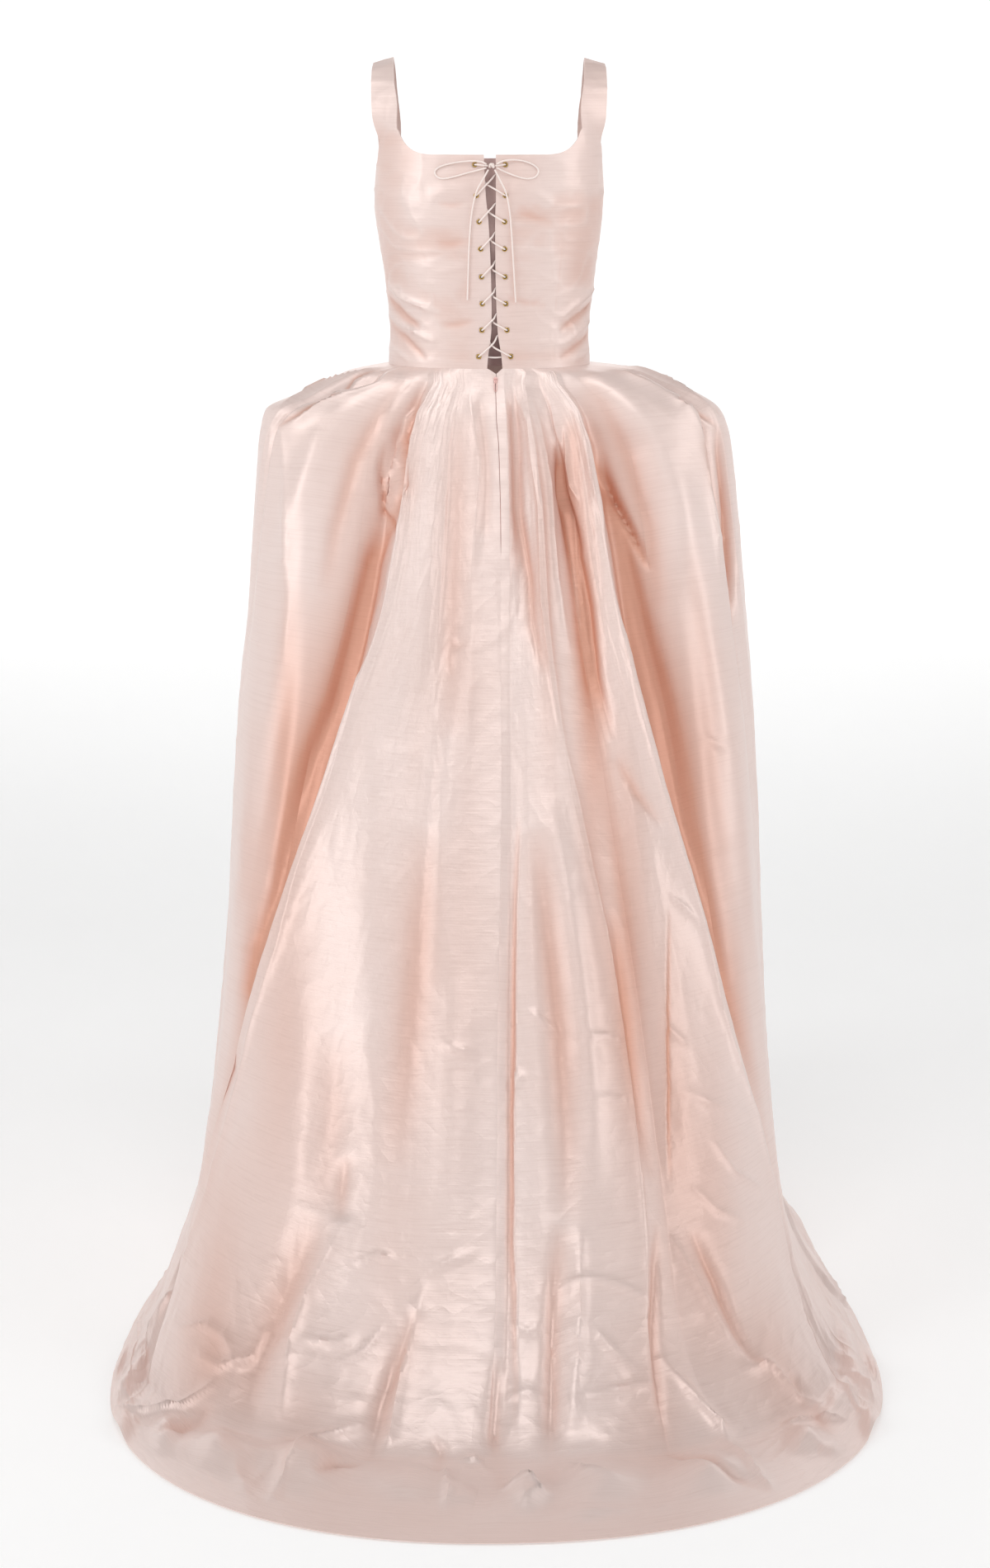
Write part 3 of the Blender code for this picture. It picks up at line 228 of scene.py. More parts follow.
SKIRT_PANELS = (             # name, first fold line, last fold line
    ("skirt_back_right", "valley_out_right", "seam_centre"),
    ("skirt_back_left", "seam_centre", "valley_out_left"),
    ("skirt_side_left", "valley_out_left", "seam_side_front_left"),
    ("skirt_front", "seam_side_front_left", "seam_side_front_right"),
    ("skirt_side_right", "seam_side_front_right", "valley_out_right"),
)

# Finer form of the skirt: its crisp fold lines, and how much the smoothing rounds each off
CRISP_LINES = {
    "train_edge_left": .04, "train_edge_right": .05, "pleat_1_right": .10,
    "hip_tuck_left": .06, "hip_tuck_right": .06, "hip_pleat_left": .12, "hip_pleat_right": .12,
    "hip_layer_left": .15, "hip_layer_right": .15, "placket_edge_right": .12,
    "seam_centre": .0, "seam_side_front_left": .0, "seam_side_front_right": .0,
    "train_valley_left": .25, "train_valley_right": .25, "valley_2_right": .25,
}
CRISP_CROWDING = 1.35        # how much closer the columns stand beside a crisp line
CRISP_REACH, CRISP_EASE = 1.5, .35   # columns beside a crisp line, and their rounding
# Faces that drop steeply at one end, by the line that they start from: the end and the
# exponent of the drop
BENDS = {
    "train_valley_right": ("end", .62),
    "train_edge_left": ("start", .60),
    "valley_2_right": ("end", .75),
    "hip_tuck_right": ("end", .60),
    "hip_pleat_left": ("start", .60),
}
BEND_START = .03             # keeps a bend's slope finite at its steep end
SEAM_LINES = ("seam_centre", "seam_side_front_left", "seam_side_front_right")
TRAIN_SPREAD = 106           # lines under this angle at the hem have the train's columns
ACROSS_LEVEL = .8            # share of the rows at which the cloth's width is measured

# Bodice sections, one row a ring, from the waist up
BODICE_COLUMNS = ("height", "half_width", "back", "front", "square")
BODICE_ROWS = {
    "waist":      (0.0000, .1273, .0920, -.100, 2.15),
    "narrowest":  (0.0415, .1263, .0925, -.101, 2.15),
    "ribs":       (0.1036, .1322, .0965, -.109, 2.20),
    "under_bust": (0.1650, .1407, .1010, -.128, 2.25),
    "bust":       (0.2060, .1445, .1025, -.134, 2.30),
    "underarm":   (0.2470, .1432, .1000, -.125, 2.30),
    "blades":     (0.2900, .1440, .0930, -.108, 2.30),
    "shoulder":   (0.3800, .1440, .0700, -.080, 2.30),
}
# Top edge of the bodice by angle from the middle of the back or of the front
TOP_EDGE_COLUMNS = ("angle", "back", "front")
TOP_EDGE = (
    (0, NECKLINE, FRONT_NECKLINE),
    (26, NECKLINE, FRONT_NECKLINE),
    (33, .2625, .2155),
    (40, .268, .220),
    (46, .279, .229),
    (50, .292, .241),
    (61, .286, .240),
    (71, .276, .238),
    (78, .250, .229),
    (84, .232, .2235),
    (90, UNDERARM, UNDERARM),
)
STRAP_FIRST, STRAP_LAST = 50, 71
# Straps over the shoulder, one row a station from the back to the front: the place of
# the inner edge (x, y, z), then of the outer edge (x, y, z)
STRAP_ROWS = {
    "back_low":   (.1135, .0560, .318, .1450, .0360, .308),
    "back_high":  (.1170, .0400, .348, .1460, .0270, .340),
    "back_top":   (.1185, .0190, .370, .1455, .0140, .363),
    "shoulder":   (.1185, .0000, .378, .1440, .0000, .371),
    "front_top":  (.1180, -.0210, .369, .1450, -.0160, .362),
    "front_high": (.1165, -.0480, .336, .1450, -.0340, .330),
    "front_low":  (.1135, -.0740, .288, .1420, -.0460, .286),
}
SHOULDER_STATION = 3

# Lacing: height, middle of the gap and width of the gap, from the bottom pair of
# eyelets to the top pair
LACING_ROWS = (
    (.0150, -.0070, .0165),
    (.0475, -.0066, .0078),
    (.0800, -.0060, .0058),
    (.1130, -.0052, .0056),
    (.1470, -.0044, .0066),
    (.1800, -.0034, .0082),
    (.2120, -.0022, .0125),
    (.2490, -.0012, .0142),
)
GAP_FLARE = 0.3              # how much it widens past its last pairs, as a share of a step
EYELET_INSET = 0.0115        # from the edge of the gap to the middle of an eyelet
PLACKET_WIDTH = 0.0185       # the flat strip that carries the eyelets
EYELET_HOLE, EYELET_BARREL, EYELET_RIM = 0.0019, 0.0024, 0.0032
EYELET_LIP = 0.00065         # height of the rolled lip
PANEL_HOLE = 0.0028
HOLE_CORNERS, HOLE_REACH = 20, 0.006     # of the cutter, on both sides of the cloth
EYELET_CLEAR = 0.0003        # rim to cloth
LACE_RADIUS = 0.0011
LACE_OVER, LACE_UNDER = 0.00225, -0.0039
LACE_LEFT_SLOPE = math.tan(math.radians(45))     # of a strand that starts on the left
LACE_RIGHT_SLOPE = math.tan(math.radians(30))
LACE_REST = 0.0019           # a strand's middle over the cloth beside an eyelet
LACE_IN_HOLE = 0.0005, -0.0021                   # a strand's two ends in an eyelet
LACE_TURN_IN = 0.0010        # how far past the gap's edge a strand bends
LACE_SOFT = 0.0003           # how much lower or higher it is where it bends
LACE_STEPS = 0.0006, 0.0024, 0.0020  # out of an eyelet, away from it, and at the gap's edge
LACE_POINT, BOW_POINT = .0011, .0022     # between two points of a cord
MODESTY_DEPTH, MODESTY_HALF = 0.0062, 0.032
MODESTY_TOP, MODESTY_BOTTOM = 0.2575, 0.003
MODESTY_SIDE = BODICE_WALL + .0010       # its sides, behind the outer face of the back
MODESTY_CLEAR = 0.0002
KNOT_PLACE = (-.003, .2475, .0046)       # x, z, out of the cloth
KNOT_SIZE = (.0046, .0030, .0038)
KNOT_GROOVE = .10            # depth of its groove as a share of its size
KNOT_CLEAR = .0002           # cord to knot
KNOT_CORD = .00135           # radius of its turns, a little fuller than the lace
KNOT_TWIST = .6              # where its turns cross, in radians

# Bow: routes as x, height, and distance out of the cloth
BOW_ROUTES = {
    "lace_loop_left": ((.0030, .2492, .0060), (.0100, .2522, .0042), (.0240, .2530, .0030),
                       (.0420, .2510, .0024), (.0580, .2470, .0021), (.0655, .2415, .0020),
                       (.0640, .2350, .0020), (.0560, .2320, .0020), (.0420, .2345, .0020),
                       (.0260, .2390, .0024), (.0120, .2425, .0036), (.0032, .2448, .0050)),
    "lace_loop_right": ((-.0092, .2492, .0060), (-.0170, .2530, .0044), (-.0300, .2545, .0030),
                        (-.0440, .2525, .0023), (-.0555, .2475, .0020), (-.0600, .2410, .0020),
                        (-.0560, .2340, .0020), (-.0460, .2320, .0020), (-.0330, .2350, .0022),
                        (-.0200, .2400, .0028), (-.0092, .2448, .0048)),
    "lace_end_left": ((.0006, .2425, .0062), (.0060, .2330, .0066), (.0150, .2170, .0040),
                      (.0205, .1950, .0024), (.0232, .1700, .0021), (.0246, .1450, .0021),
                      (.0256, .1150, .0020), (.0266, .0850, .0020)),
    "lace_end_right": ((-.0066, .2425, .0062), (-.0120, .2320, .0066), (-.0205, .2150, .0040),
                       (-.0250, .1930, .0024), (-.0272, .1680, .0021), (-.0290, .1400, .0021),
                       (-.0308, .1100, .0020), (-.0325, .0820, .0020)),
}

# Zip in the skirt's centre-back seam
ZIP_TOP, ZIP_BOTTOM = -.0105, -.222
PULL_LENGTH, PULL_WIDTH, PULL_WALL, PULL_RIM = .0160, .0046, .0010, .0011
PULL_EYE = .0008             # middle of the hinge's bar to the top of the ring
SLIDER_EDGE = .00022         # radius of the slider's edges

# Creases: kind, width and height in mm, and the path by angle and section level
SKIRT_CREASES = (
    ("ridge", 11, 5, ((20.8, 1.05), (14.1, 3.26), (14.1, 4.94), (15.6, 5.82), (19.2, 6.48),
        (24.5, 6.9), (24.8, 7.38), (28.3, 7.95), (31.6, 8.34), (37.6, 8.83), (42.9, 9.36),
        (49.3, 9.87), (53.9, 10.38), (61.3, 11.14), (68.7, 11.88), (71.2, 12.89))),
    ("trough", 15, 10, ((18.9, 2.67), (17.1, 5.66), (25.4, 6.25), (30, 6.83), (35.6, 7.52),
        (42.3, 8.04), (54.2, 9.03), (64.6, 9.77), (56.4, 10.29), (62.3, 10.87))),
    ("trough", 7, 9, ((23.2, 1.45), (19.6, 2.53), (16, 3.99), (17.6, 4.85), (16.5, 5.6),
        (17.9, 5.69), (17.4, 6.01))),
    ("ridge", 6, 6, ((20.9, 4.76), (19.2, 5.25), (20.7, 5.48), (21.6, 5.6), (21.3, 5.75),
        (17, 6.01))),
    ("trough", 4, 5, ((22.3, 4.94), (23.3, 5.32), (22.4, 5.63), (22.2, 5.78), (18.7, 5.98),
        (16.9, 6.15))),
    ("step", 17, 9, ((57.6, 0.38), (54.1, 1.26), (55.1, 1.77), (46.4, 2.96), (47.7, 3.56),
        (52.2, 4.26), (60.1, 4.76), (62.5, 4.85))),
    ("step", 14, 8, ((74.4, 0), (63.6, 1.05), (68.8, 1.61), (76.3, 2.09), (76.8, 2.81),
        (71.1, 3.56), (70.8, 3.99))),
    ("ridge", 9, 5, ((61.2, 4.65), (58.7, 5.21), (54.4, 5.66), (51.9, 6.15), (50, 6.67),
        (50.7, 7.28))),
    ("ridge", 7, 4, ((60.7, 1.26), (64, 2.24), (62.6, 3.26))),
    ("swell", 20, 7, ((39.6, 1.26), (37, 3.26), (42.7, 5.17), (50.8, 5.88), (54.4, 6.67))),
    ("trough", 12, 5, ((32.3, 1.45), (25.9, 3.56), (30.8, 5.32), (35.8, 6.01), (38.7, 6.61))),
    ("swell", 14, 5, ((32.9, 1.05), (24, 3.1), (23.7, 5.07), (27.6, 5.66))),
    ("swell", 26, 5, ((39.6, 4.65), (44.6, 5.88), (46.2, 6.93), (48.6, 7.98), (53.1, 8.85))),
    ("trough", 24, 4, ((44.4, 6.51), (49.5, 7.62), (55.6, 8.5), (62.5, 9.21))),
    ("ridge", 6, 3, ((79.9, 7.17), (65.6, 7.17), (55.6, 7.1))),
    ("ridge", 6, 3, ((71.7, 8.78), (61.8, 8.75), (55.2, 8.65))),
    ("ridge", 6, 3, ((67.5, 6.38), (58.7, 6.41), (49.9, 6.38))),
    ("ridge", 5, 3, ((72.4, 9.54), (65, 9.51), (60.1, 9.41))),
    ("ridge", 10, 8, ((-4.9, 1.93), (-5.4, 2.81), (-6.3, 4.26), (-6.8, 5.35), (-7.9, 5.78),
        (-8.2, 6.67), (-9.6, 7.35), (-11, 7.88))),
    ("ridge", 7, 5, ((-3.3, 2.09), (-2.4, 3.71), (-2.3, 5.32), (-2.4, 5.82))),
    ("ridge", 5, 6, ((-14, 4.53), (-14.1, 5.32), (-14.6, 5.57), (-16.1, 5.72))),
    ("trough", 6, 8, ((-12, 4.85), (-12.7, 5.29), (-12.8, 5.63), (-14.6, 5.88), (-16, 6.22))),
    ("trough", 5, 10, ((-20.8, 4.4), (-21.1, 5.07), (-22.8, 5.32), (-26.1, 5.66), (-30.7, 5.98),
        (-35.5, 6.38))),
    ("ridge", 5, 5, ((-19, 4.65), (-19, 5.35), (-20.1, 5.69), (-21.5, 6.01))),
    ("ridge", 9, 6, ((-10.1, 7.55), (-11.2, 7.82), (-13.9, 8.26), (-17.1, 8.85), (-19.5, 9.26),
        (-21.7, 9.71), (-23.2, 10.15), (-24.7, 10.84), (-25.5, 11.28), (-25.9, 12.07))),
    ("trough", 8, 8, ((-4.7, 1.93), (-3.4, 3.85), (-3.6, 5.32), (-3.8, 5.82), (-5.7, 6.44),
        (-6.3, 6.87), (-8.5, 7.31))),
    ("trough", 9, 9, ((-12.2, 5.07), (-13.1, 5.57), (-14.3, 5.94), (-17.4, 6.67), (-19, 7.31),
        (-21.9, 7.88))),
    ("ridge", 8, 5, ((-15.5, 2.09), (-12.3, 4.53), (-13.5, 5.51), (-15.8, 5.98))),
    ("ridge", 8, 6, ((-9.5, 2.09), (-8.7, 4.53), (-10.3, 5.57), (-11.2, 6.44), (-13.7, 7.1))),
    ("ridge", 11, 6, ((-29.9, 1.05), (-17.7, 3.85), (-19.8, 5.69), (-23.4, 6.22), (-25.3, 7.03),
        (-28.8, 7.79), (-32.3, 8.29), (-36.8, 8.75), (-41.4, 9.18), (-46, 9.74), (-51.8, 10.26),
        (-57.7, 10.68), (-64.2, 11.31), (-69.1, 11.88), (-71.5, 12.89))),
    ("trough", 16, 10, ((-29.1, 1.93), (-21.4, 4.76), (-23.8, 5.51), (-28.3, 6.08), (-33.8, 6.87),
        (-39.2, 7.55), (-42.4, 8.04), (-46.2, 8.52), (-53.4, 9.13), (-59.2, 9.71), (-65.8, 10.26),
        (-71, 10.71))),
    ("step", 12, 5, ((-31.7, 10.87), (-31.8, 10.18), (-31.7, 9.74), (-32.9, 9.06))),
    ("trough", 7, 8, ((-63.3, 4.53), (-59.9, 5.21), (-61, 5.63), (-68.3, 6.18), (-69.7, 6.51),
        (-69.3, 7.03))),
    ("ridge", 5, 4, ((-58.6, 6.18), (-68.2, 6.15), (-72.8, 6.25))),
    ("step", 18, 9, ((-70, 4.85), (-63.5, 4.26), (-55.3, 3.56), (-59.6, 2.67), (-56.9, 2.09),
        (-55.9, 1.45), (-71.8, 0.38))),
    ("trough", 7, 10, ((-71, 4.65), (-69.7, 5.29), (-70, 5.54), (-70.5, 5.91), (-70.8, 6.41),
        (-69.7, 6.87))),
    ("ridge", 8, 5, ((-58.9, 5.01), (-58.9, 5.57), (-59.4, 6.08), (-59.7, 6.54))),
    ("step", 12, 7, ((-76, 4.4), (-72.3, 3.26), (-82, 2.09), (-81.7, 1.05), (-92.9, 0.38))),
    ("swell", 18, 7, ((-41, 0.76), (-36, 2.53), (-38.6, 4.94), (-44.6, 5.78), (-46.8, 6.64))),
    ("trough", 12, 5, ((-38, 0.76), (-28.6, 2.96), (-30.4, 5.21), (-35.8, 5.98), (-38.2, 6.74))),
    ("swell", 24, 5, ((-36.2, 5.82), (-42.8, 6.9), (-48.7, 7.98), (-53.8, 8.8))),
    ("trough", 22, 4, ((-46.3, 6.05), (-51.2, 7.28), (-54.5, 8.37), (-59.6, 9.18))),
    ("ridge", 9, 5, ((4.8, 2.24), (2.1, 4.53), (1, 5.29), (1.5, 5.82), (2.3, 6.44))),
    ("trough", 9, 5, ((1.9, 2.53), (0.3, 4.94), (0, 5.51), (0.3, 6.08))),
    ("swell", 16, 5, ((10.3, 2.67), (8.8, 5.66), (11.2, 6.61), (13.1, 7.45))),
    ("trough", 18, 4, ((5.2, 3.56), (5, 5.98), (5.8, 7), (5.7, 7.85))),
    ("swell", 20, 6, ((3.8, 6.87), (5.7, 7.85), (7.6, 8.75), (9, 9.49))),
    ("trough", 5, 1.2, ((6.8, 6.97), (4.7, 7.03), (2.5, 7))),
    ("trough", 6, .9, ((6.6, 7), (6.2, 7.17), (5.5, 7.31))),
    ("step", 16, 5, ((-4.3, 8.39), (-3.6, 8.95), (-3.4, 9.46), (-3, 10.26), (-2.8, 11.18),
        (-3.4, 12.29), (-3.2, 13.44))),
    ("ridge", 5, 5, ((-3.4, 9.64), (-6.2, 9.64), (-10.7, 9.77))),
    ("ridge", 5, 4.4, ((-1.3, 10.01), (-4.1, 10.01), (-2.8, 10.09))),
    ("ridge", 5, 4.4, ((-14.7, 9.79), (-18.2, 9.79), (-21.6, 9.84))),
    ("ridge", 5, 4.4, ((-14.8, 10.21), (-19.1, 10.21), (-22.5, 10.24))),
    ("ridge", 6, 5, ((-31.8, 9.69), (-32, 9.79), (-37.1, 9.95))),
    ("ridge", 6, 6.2, ((-31.5, 10.18), (-41.8, 10.38), (-57.9, 10.68))),
    ("trough", 7, 4, ((-22.6, 8.01), (-26.9, 8.29), (-32.4, 8.52))),
    ("ridge", 6, 4, ((-33.4, 8.98), (-36.8, 9.06), (-40.7, 9.18))),
    ("ridge", 6, 4, ((-49.1, 7.92), (-53.9, 8.01), (-63.7, 8.18))),
    ("ridge", 5, 4.4, ((6.9, 9.79), (3.6, 9.84), (1, 9.87))),
    ("swell", 22, 3.5, ((35.9, 9.34), (34.8, 10.12), (35.1, 10.71), (35.6, 11.38))),
    ("trough", 26, 4, ((28.8, 9.79), (27.6, 10.35), (28.3, 10.78), (29.6, 11.18))),
    ("trough", 12, 5, ((24.2, 10.62), (24.7, 10.87), (24.6, 11.14))),
    ("swell", 26, 4.5, ((17.9, 7.88), (19.8, 8.75), (21.5, 9.51), (22.5, 10.21))),
    ("trough", 26, 6, ((9.3, 8.45), (11.1, 9.24), (12.9, 10.01), (14.1, 10.68))),
    ("swell", 24, 6, ((3.2, 9.39), (3.7, 9.98), (4.1, 10.68), (4.3, 11.31))),
    ("swell", 16, 7, ((-8.5, 8.26), (-12, 8.88), (-13.9, 9.49), (-15.4, 10.18), (-15.6, 10.84))),
    ("trough", 18, 8, ((-6.3, 8.47), (-8.2, 9.08), (-10, 9.74), (-10.8, 10.47), (-10.6, 11.08))),
    ("trough", 14, 6, ((-20.6, 9.01), (-22.1, 9.41), (-24.3, 10.06), (-27.6, 10.84))),
    ("trough", 30, 13, ((29.3, 11.11), (33.5, 11.56), (36.7, 11.97), (39.8, 12.71), (40.4, 13.33),
        (37.5, 13.93))),
    ("ridge", 18, 9, ((22.2, 11.08), (26.7, 11.42), (30.8, 11.8), (32.9, 12.4), (32.4, 13.07),
        (32.5, 13.54))),
    ("trough", 12.6, 11.2, ((9.9, 11.8), (12.9, 12.46), (15, 13.12), (16.2, 14.05))),
    ("ridge", 12, 8.8, ((8.6, 11.53), (10.1, 12.02), (11.9, 12.58), (13.1, 13.49),
        (17.5, 14.68))),
    ("ridge", 12, 12.5, ((16.5, 13.33), (21.1, 13.49), (25.9, 13.76), (28.9, 14.74),
        (30.3, 15.54))),
    ("trough", 9, 9, ((16.9, 14.05), (20.9, 14.35), (23.9, 14.79))),
    ("trough", 9, 9, ((-1, 12.29), (-0.9, 12.77), (-0.5, 13.44), (-1.5, 14.68))),
    ("trough", 11.7, 12.3, ((-9.8, 11.08), (-8.6, 11.6), (-8.2, 12.34), (-7.7, 13.28),
        (-7.2, 14.57))),
    ("ridge", 12, 11.2, ((-13, 11.14), (-12.7, 11.72), (-12.3, 12.4), (-10.5, 13.44))),
    ("ridge", 6, 5, ((-7, 11.72), (-11, 11.6), (-14.8, 11.56), (-19.7, 11.64), (-23.7, 11.76),
        (-27.5, 11.97))),
    ("ridge", 6, 5, ((-14.4, 11.97), (-18.8, 12.4), (-23.1, 12.77))),
    ("ridge", 6, 6.2, ((-12.7, 13.01), (-17.8, 12.95), (-26, 12.89))),
    ("trough", 8.1, 9, ((-28.7, 11.18), (-27.7, 11.72), (-26.4, 12.52), (-25.5, 13.82))),
    ("ridge", 10, 13.8, ((-27.9, 12.52), (-31.9, 13.07), (-36.4, 13.59), (-38.6, 14.79),
        (-41.2, 15.79))),
    ("trough", 8.1, 9, ((-24.3, 13.82), (-27.2, 14.11), (-30.1, 14.4), (-34.7, 15.01),
        (-39.4, 15.64))),
    ("ridge", 10, 8.8, ((-31.6, 11.28), (-37.7, 11.76), (-42.5, 12.34), (-46.6, 12.89))),
    ("trough", 9, 7.8, ((-36.7, 11.31), (-42.4, 11.8), (-46.5, 12.46), (-50.3, 13.12))),
    ("ridge", 9, 10, ((-45.3, 13.01), (-52.6, 13.07), (-57.2, 13.59), (-64, 14.05))),
    ("trough", 8.1, 7.8, ((-59, 13.33), (-58.8, 14.23), (-59.5, 14.96))),
    ("ridge", 8, 10, ((-49.1, 13.93), (-58.6, 14.11), (-66.2, 14.9))),
    ("ridge", 9, 8.8, ((67.1, 11.93), (81.1, 12.89), (87, 13.59), (90.1, 14.68))),
    ("ridge", 10, 13.8, ((48.2, 13.23), (52.5, 13.54), (57.4, 13.93), (67.7, 14.79),
        (76.9, 15.9))),
    ("trough", 9, 9, ((49.5, 13.59), (53.6, 14.46), (57.9, 15.12))),
    ("ridge", 7, 7.5, ((66.4, 13.01), (55.6, 12.65), (48.8, 12.65), (43.7, 12.95))),
    ("ridge", 7, 7.5, ((56.2, 13.07), (48.7, 13.07), (41.6, 12.77), (39.5, 12.23))),
    ("ridge", 5, 5, ((8, 11.46), (3.9, 11.35), (0.9, 11.28))),
    ("ridge", 5, 5, ((32.1, 12.34), (24.7, 12.29), (19.5, 12.18))),
    ("ridge", 5, 4.4, ((23.4, 12.58), (18.6, 12.34), (15, 11.97))),
    ("ridge", 8, 11.2, ((3.9, 13.76), (4.9, 14.23), (4.5, 14.85), (4.7, 15.49))),
    ("ridge", 8, 10, ((3.9, 13.82), (1.2, 13.76), (-0.5, 14.29))),
    ("ridge", 8, 11.2, ((-1.2, 14.74), (-4.1, 14.52), (-6, 14.85), (-3.3, 15.23))),
    ("ridge", 7, 7.5, ((-9.8, 13.87), (-12.2, 14.46), (-16.5, 14.74))),
    ("trough", 6.3, 6.7, ((7.1, 13.44), (5.6, 13.65), (6.2, 14.23))),
    ("ridge", 5, 5, ((-1.5, 11.88), (-4.7, 12.02), (-7.1, 11.93))),
    ("ridge", 5, 5, ((-1.7, 12.89), (-4.8, 12.83), (-7.1, 12.95))),
    ("ridge", 5, 5, ((-37.1, 10.97), (-43.8, 11.25), (-52.6, 11.46))),
    ("ridge", 6, 6.2, ((-42.1, 10.65), (-49.1, 11.01), (-59.4, 11.28))),
    ("ridge", 5, 5, ((21.1, 11.46), (16.3, 11.35), (12.6, 11.38))),
    # the hidden front: soft pleats that fall from the waist, like those that show
    ("trough", 15, 9, ((176, .2), (174.5, 2.5), (174, 5.5), (173, 8.5))),
    ("swell", 22, 8, ((168, .1), (165.5, 3), (165, 7), (164, 11))),
    ("trough", 18, 10, ((160, .1), (157, 3), (156, 7), (155, 12.5))),
    ("ridge", 13, 7, ((151, .1), (148, 2.5), (146.5, 6), (146, 9))),
    ("trough", 16, 9, ((143, .1), (138, 3), (136, 8), (135.5, 13))),
    ("swell", 24, 8, ((133, .2), (127, 4), (125, 8), (124, 12))),
    ("trough", 20, 10, ((123, .2), (116, 4), (114, 9), (113.5, 13))),
    ("swell", 22, 7, ((112, .5), (106, 5), (104, 9), (103, 13))),
    ("trough", 16, 8, ((186, .1), (188, 3), (189, 7), (189, 10.5))),
    ("ridge", 14, 7, ((193, .1), (195.5, 2.5), (197, 6))),
    ("trough", 19, 10, ((202, .1), (206, 3), (207, 8), (208, 13))),
    ("swell", 22, 9, ((210, .2), (215, 3.5), (216, 8), (216.5, 12))),
    ("trough", 15, 8, ((219, .1), (224, 3), (226, 6.5), (227, 9.5))),
    ("ridge", 15, 8, ((226, .1), (232, 4), (234, 8))),
    ("trough", 21, 10, ((235, .2), (242, 4), (244, 9), (245, 13.5))),
    ("swell", 22, 7, ((247, .5), (253, 5), (255, 10))),
    ("ridge", 6, 4, ((150, 15.2), (146, 15.6), (141, 15.7))),
    ("ridge", 6, 4, ((200, 15.0), (205, 15.5), (209, 15.6))),
)
# Painted shade: where the silk is tinted warmer and darker, as it looks in shade: angle, level,
# their half spreads, and how much
WARM_SHADE_PLACES = (
    (-17, 7.4, 3.2, 1.7, .62), (-24, 9.3, 5.0, 1.4, .62), (-9, 6.2, 2.2, 1.8, .30),
    (-40, 11.2, 9.0, 1.7, .36), (-33, 10.2, 4.0, 1.0, .30), (40, 9.5, 8.0, 1.6, .32),
    (55, 12.5, 9.0, 1.5, .36), (-47, 7.0, 4.0, 1.4, .05), (-63, 9.2, 4.0, 1.4, .12),
    (50, 7.6, 4.0, 1.4, .20), (63, 9.6, 4.0, 1.4, .26), (-55, 13.2, 9.0, 1.2, .30),
    (-24, 13.4, 7.0, 1.2, .24), (28, 13.6, 6.0, .9, .22), (3, 8.4, 3.0, 2.2, .12),
    (-15.5, 5.0, 2.2, .9, .40), (14, 10.8, 5.0, 1.6, .10), (50, 13.0, 5.0, .5, .25),
)
# Where the hem stands off the floor: angle, level, their half spreads, and the lift in mm
HEM_LIFTS = (
    (80, 14.9, 5.0, .8, 17), (70, 15.8, 4.5, .6, 11), (90, 15.7, 4.5, .6, 12),
    (-80, 15.0, 5.0, .8, 16), (-71, 15.8, 4.2, .6, 12), (-89, 15.6, 4.5, .6, 12),
    (-57, 15.3, 2.6, .4, 8), (43, 14.6, 5.0, .5, 15), (57, 14.8, 4.0, .5, 14),
    (25, 14.5, 4.2, .55, 18), (9.5, 14.5, 5.0, .55, 17), (2.8, 14.8, 1.7, .4, 10),
    (-4, 14.75, 2.0, .45, 14), (-14.5, 14.6, 4.6, .5, 15), (-31, 14.7, 5.5, .5, 18),
    (-52, 14.6, 4.5, .5, 14), (-1, 15.2, 1.6, .45, 6), (-11, 15.3, 2.2, .4, 5),
)
HEM_LANDING = 14.25, .5      # level and spread of the small waves where it lands
HEM_WAVE, HEM_DIP = .012, -.1    # their height, and how far below it they may go
HEM_CLEAR, HEM_SOFT = .0004, .004    # hem to floor, and how softly it comes down on it
CLOTH_FIELDS = ("depth", "across", "down", "loose")      # what the silk material reads; depth is how much painted shade it gets
# Changes down the skirt, each by the section level where it starts and over how many
CRUSHED = 8.5, 5.5           # the lower skirt, which is crushed
LYING = 13.2, 1.5            # the cloth that lies on the floor
HEM_CALM = 16.0, -.9         # smooth again towards the hem
DRAPED = 1, 3.5              # falls free below the waist's pleats
FOLD_SHADE = 4.5, 4          # the large folds are in full shade
HEM_LIGHT = 14.9, .7         # and the hem lies open to the light
# The skirt's small crumples, one layer a line: its kind and its height in metres, its first
# way over the cloth with a scale and a start, its second way with a scale, its seed, and
# the parts of the skirt where it shows
SKIRT_LAYERS = (
    ("facets", .0011, "across", 11, 0, "down", 7, 1, ("lively",)),
    ("facets", .0012, "slant", 9, 0, "rise", 13, 12, ("lively", "calm")),
    ("facets", .0015, "across", 9, 4, "down", 5.5, 2, ("low", "calm")),
    ("facets", .0006, "rise", 22, 0, "slant", 26, 3, ("lively", "calmer")),
    ("waves", .0035, "across", 3.2, 0, "down", 1.6, 4, ("lively", "calm")),
    ("waves", .0020, "across", 12, 0, "down", .8, 7, ("draped",)),
    ("ribs", .0011, "across", 19, 3, "down", 1.1, 8, ("draped",)),
    ("buckles", .0060, "across", 6, 1.7, "down", 8, 6, ("lying", "calm")),
)
# How a seam puckers the cloth beside it: height, width, and how fine along the seam
PUCKER_HEIGHT, PUCKER_WIDTH, PUCKER_SCALE, PUCKER_SEED = .0005, .012, 70, 9
# Levels over which each begins below the waist
CREASES_BEGIN, GROOVES_BEGIN, PUCKERS_BEGIN = 1.2, .4, .8
NOTCH_REACH, NOTCH_ROWS = .0085, 6   # how far the notch spreads, and how many rows it moves
FOLD_DEPTH = .003, .035      # where the shade of the large folds begins, and over how deep
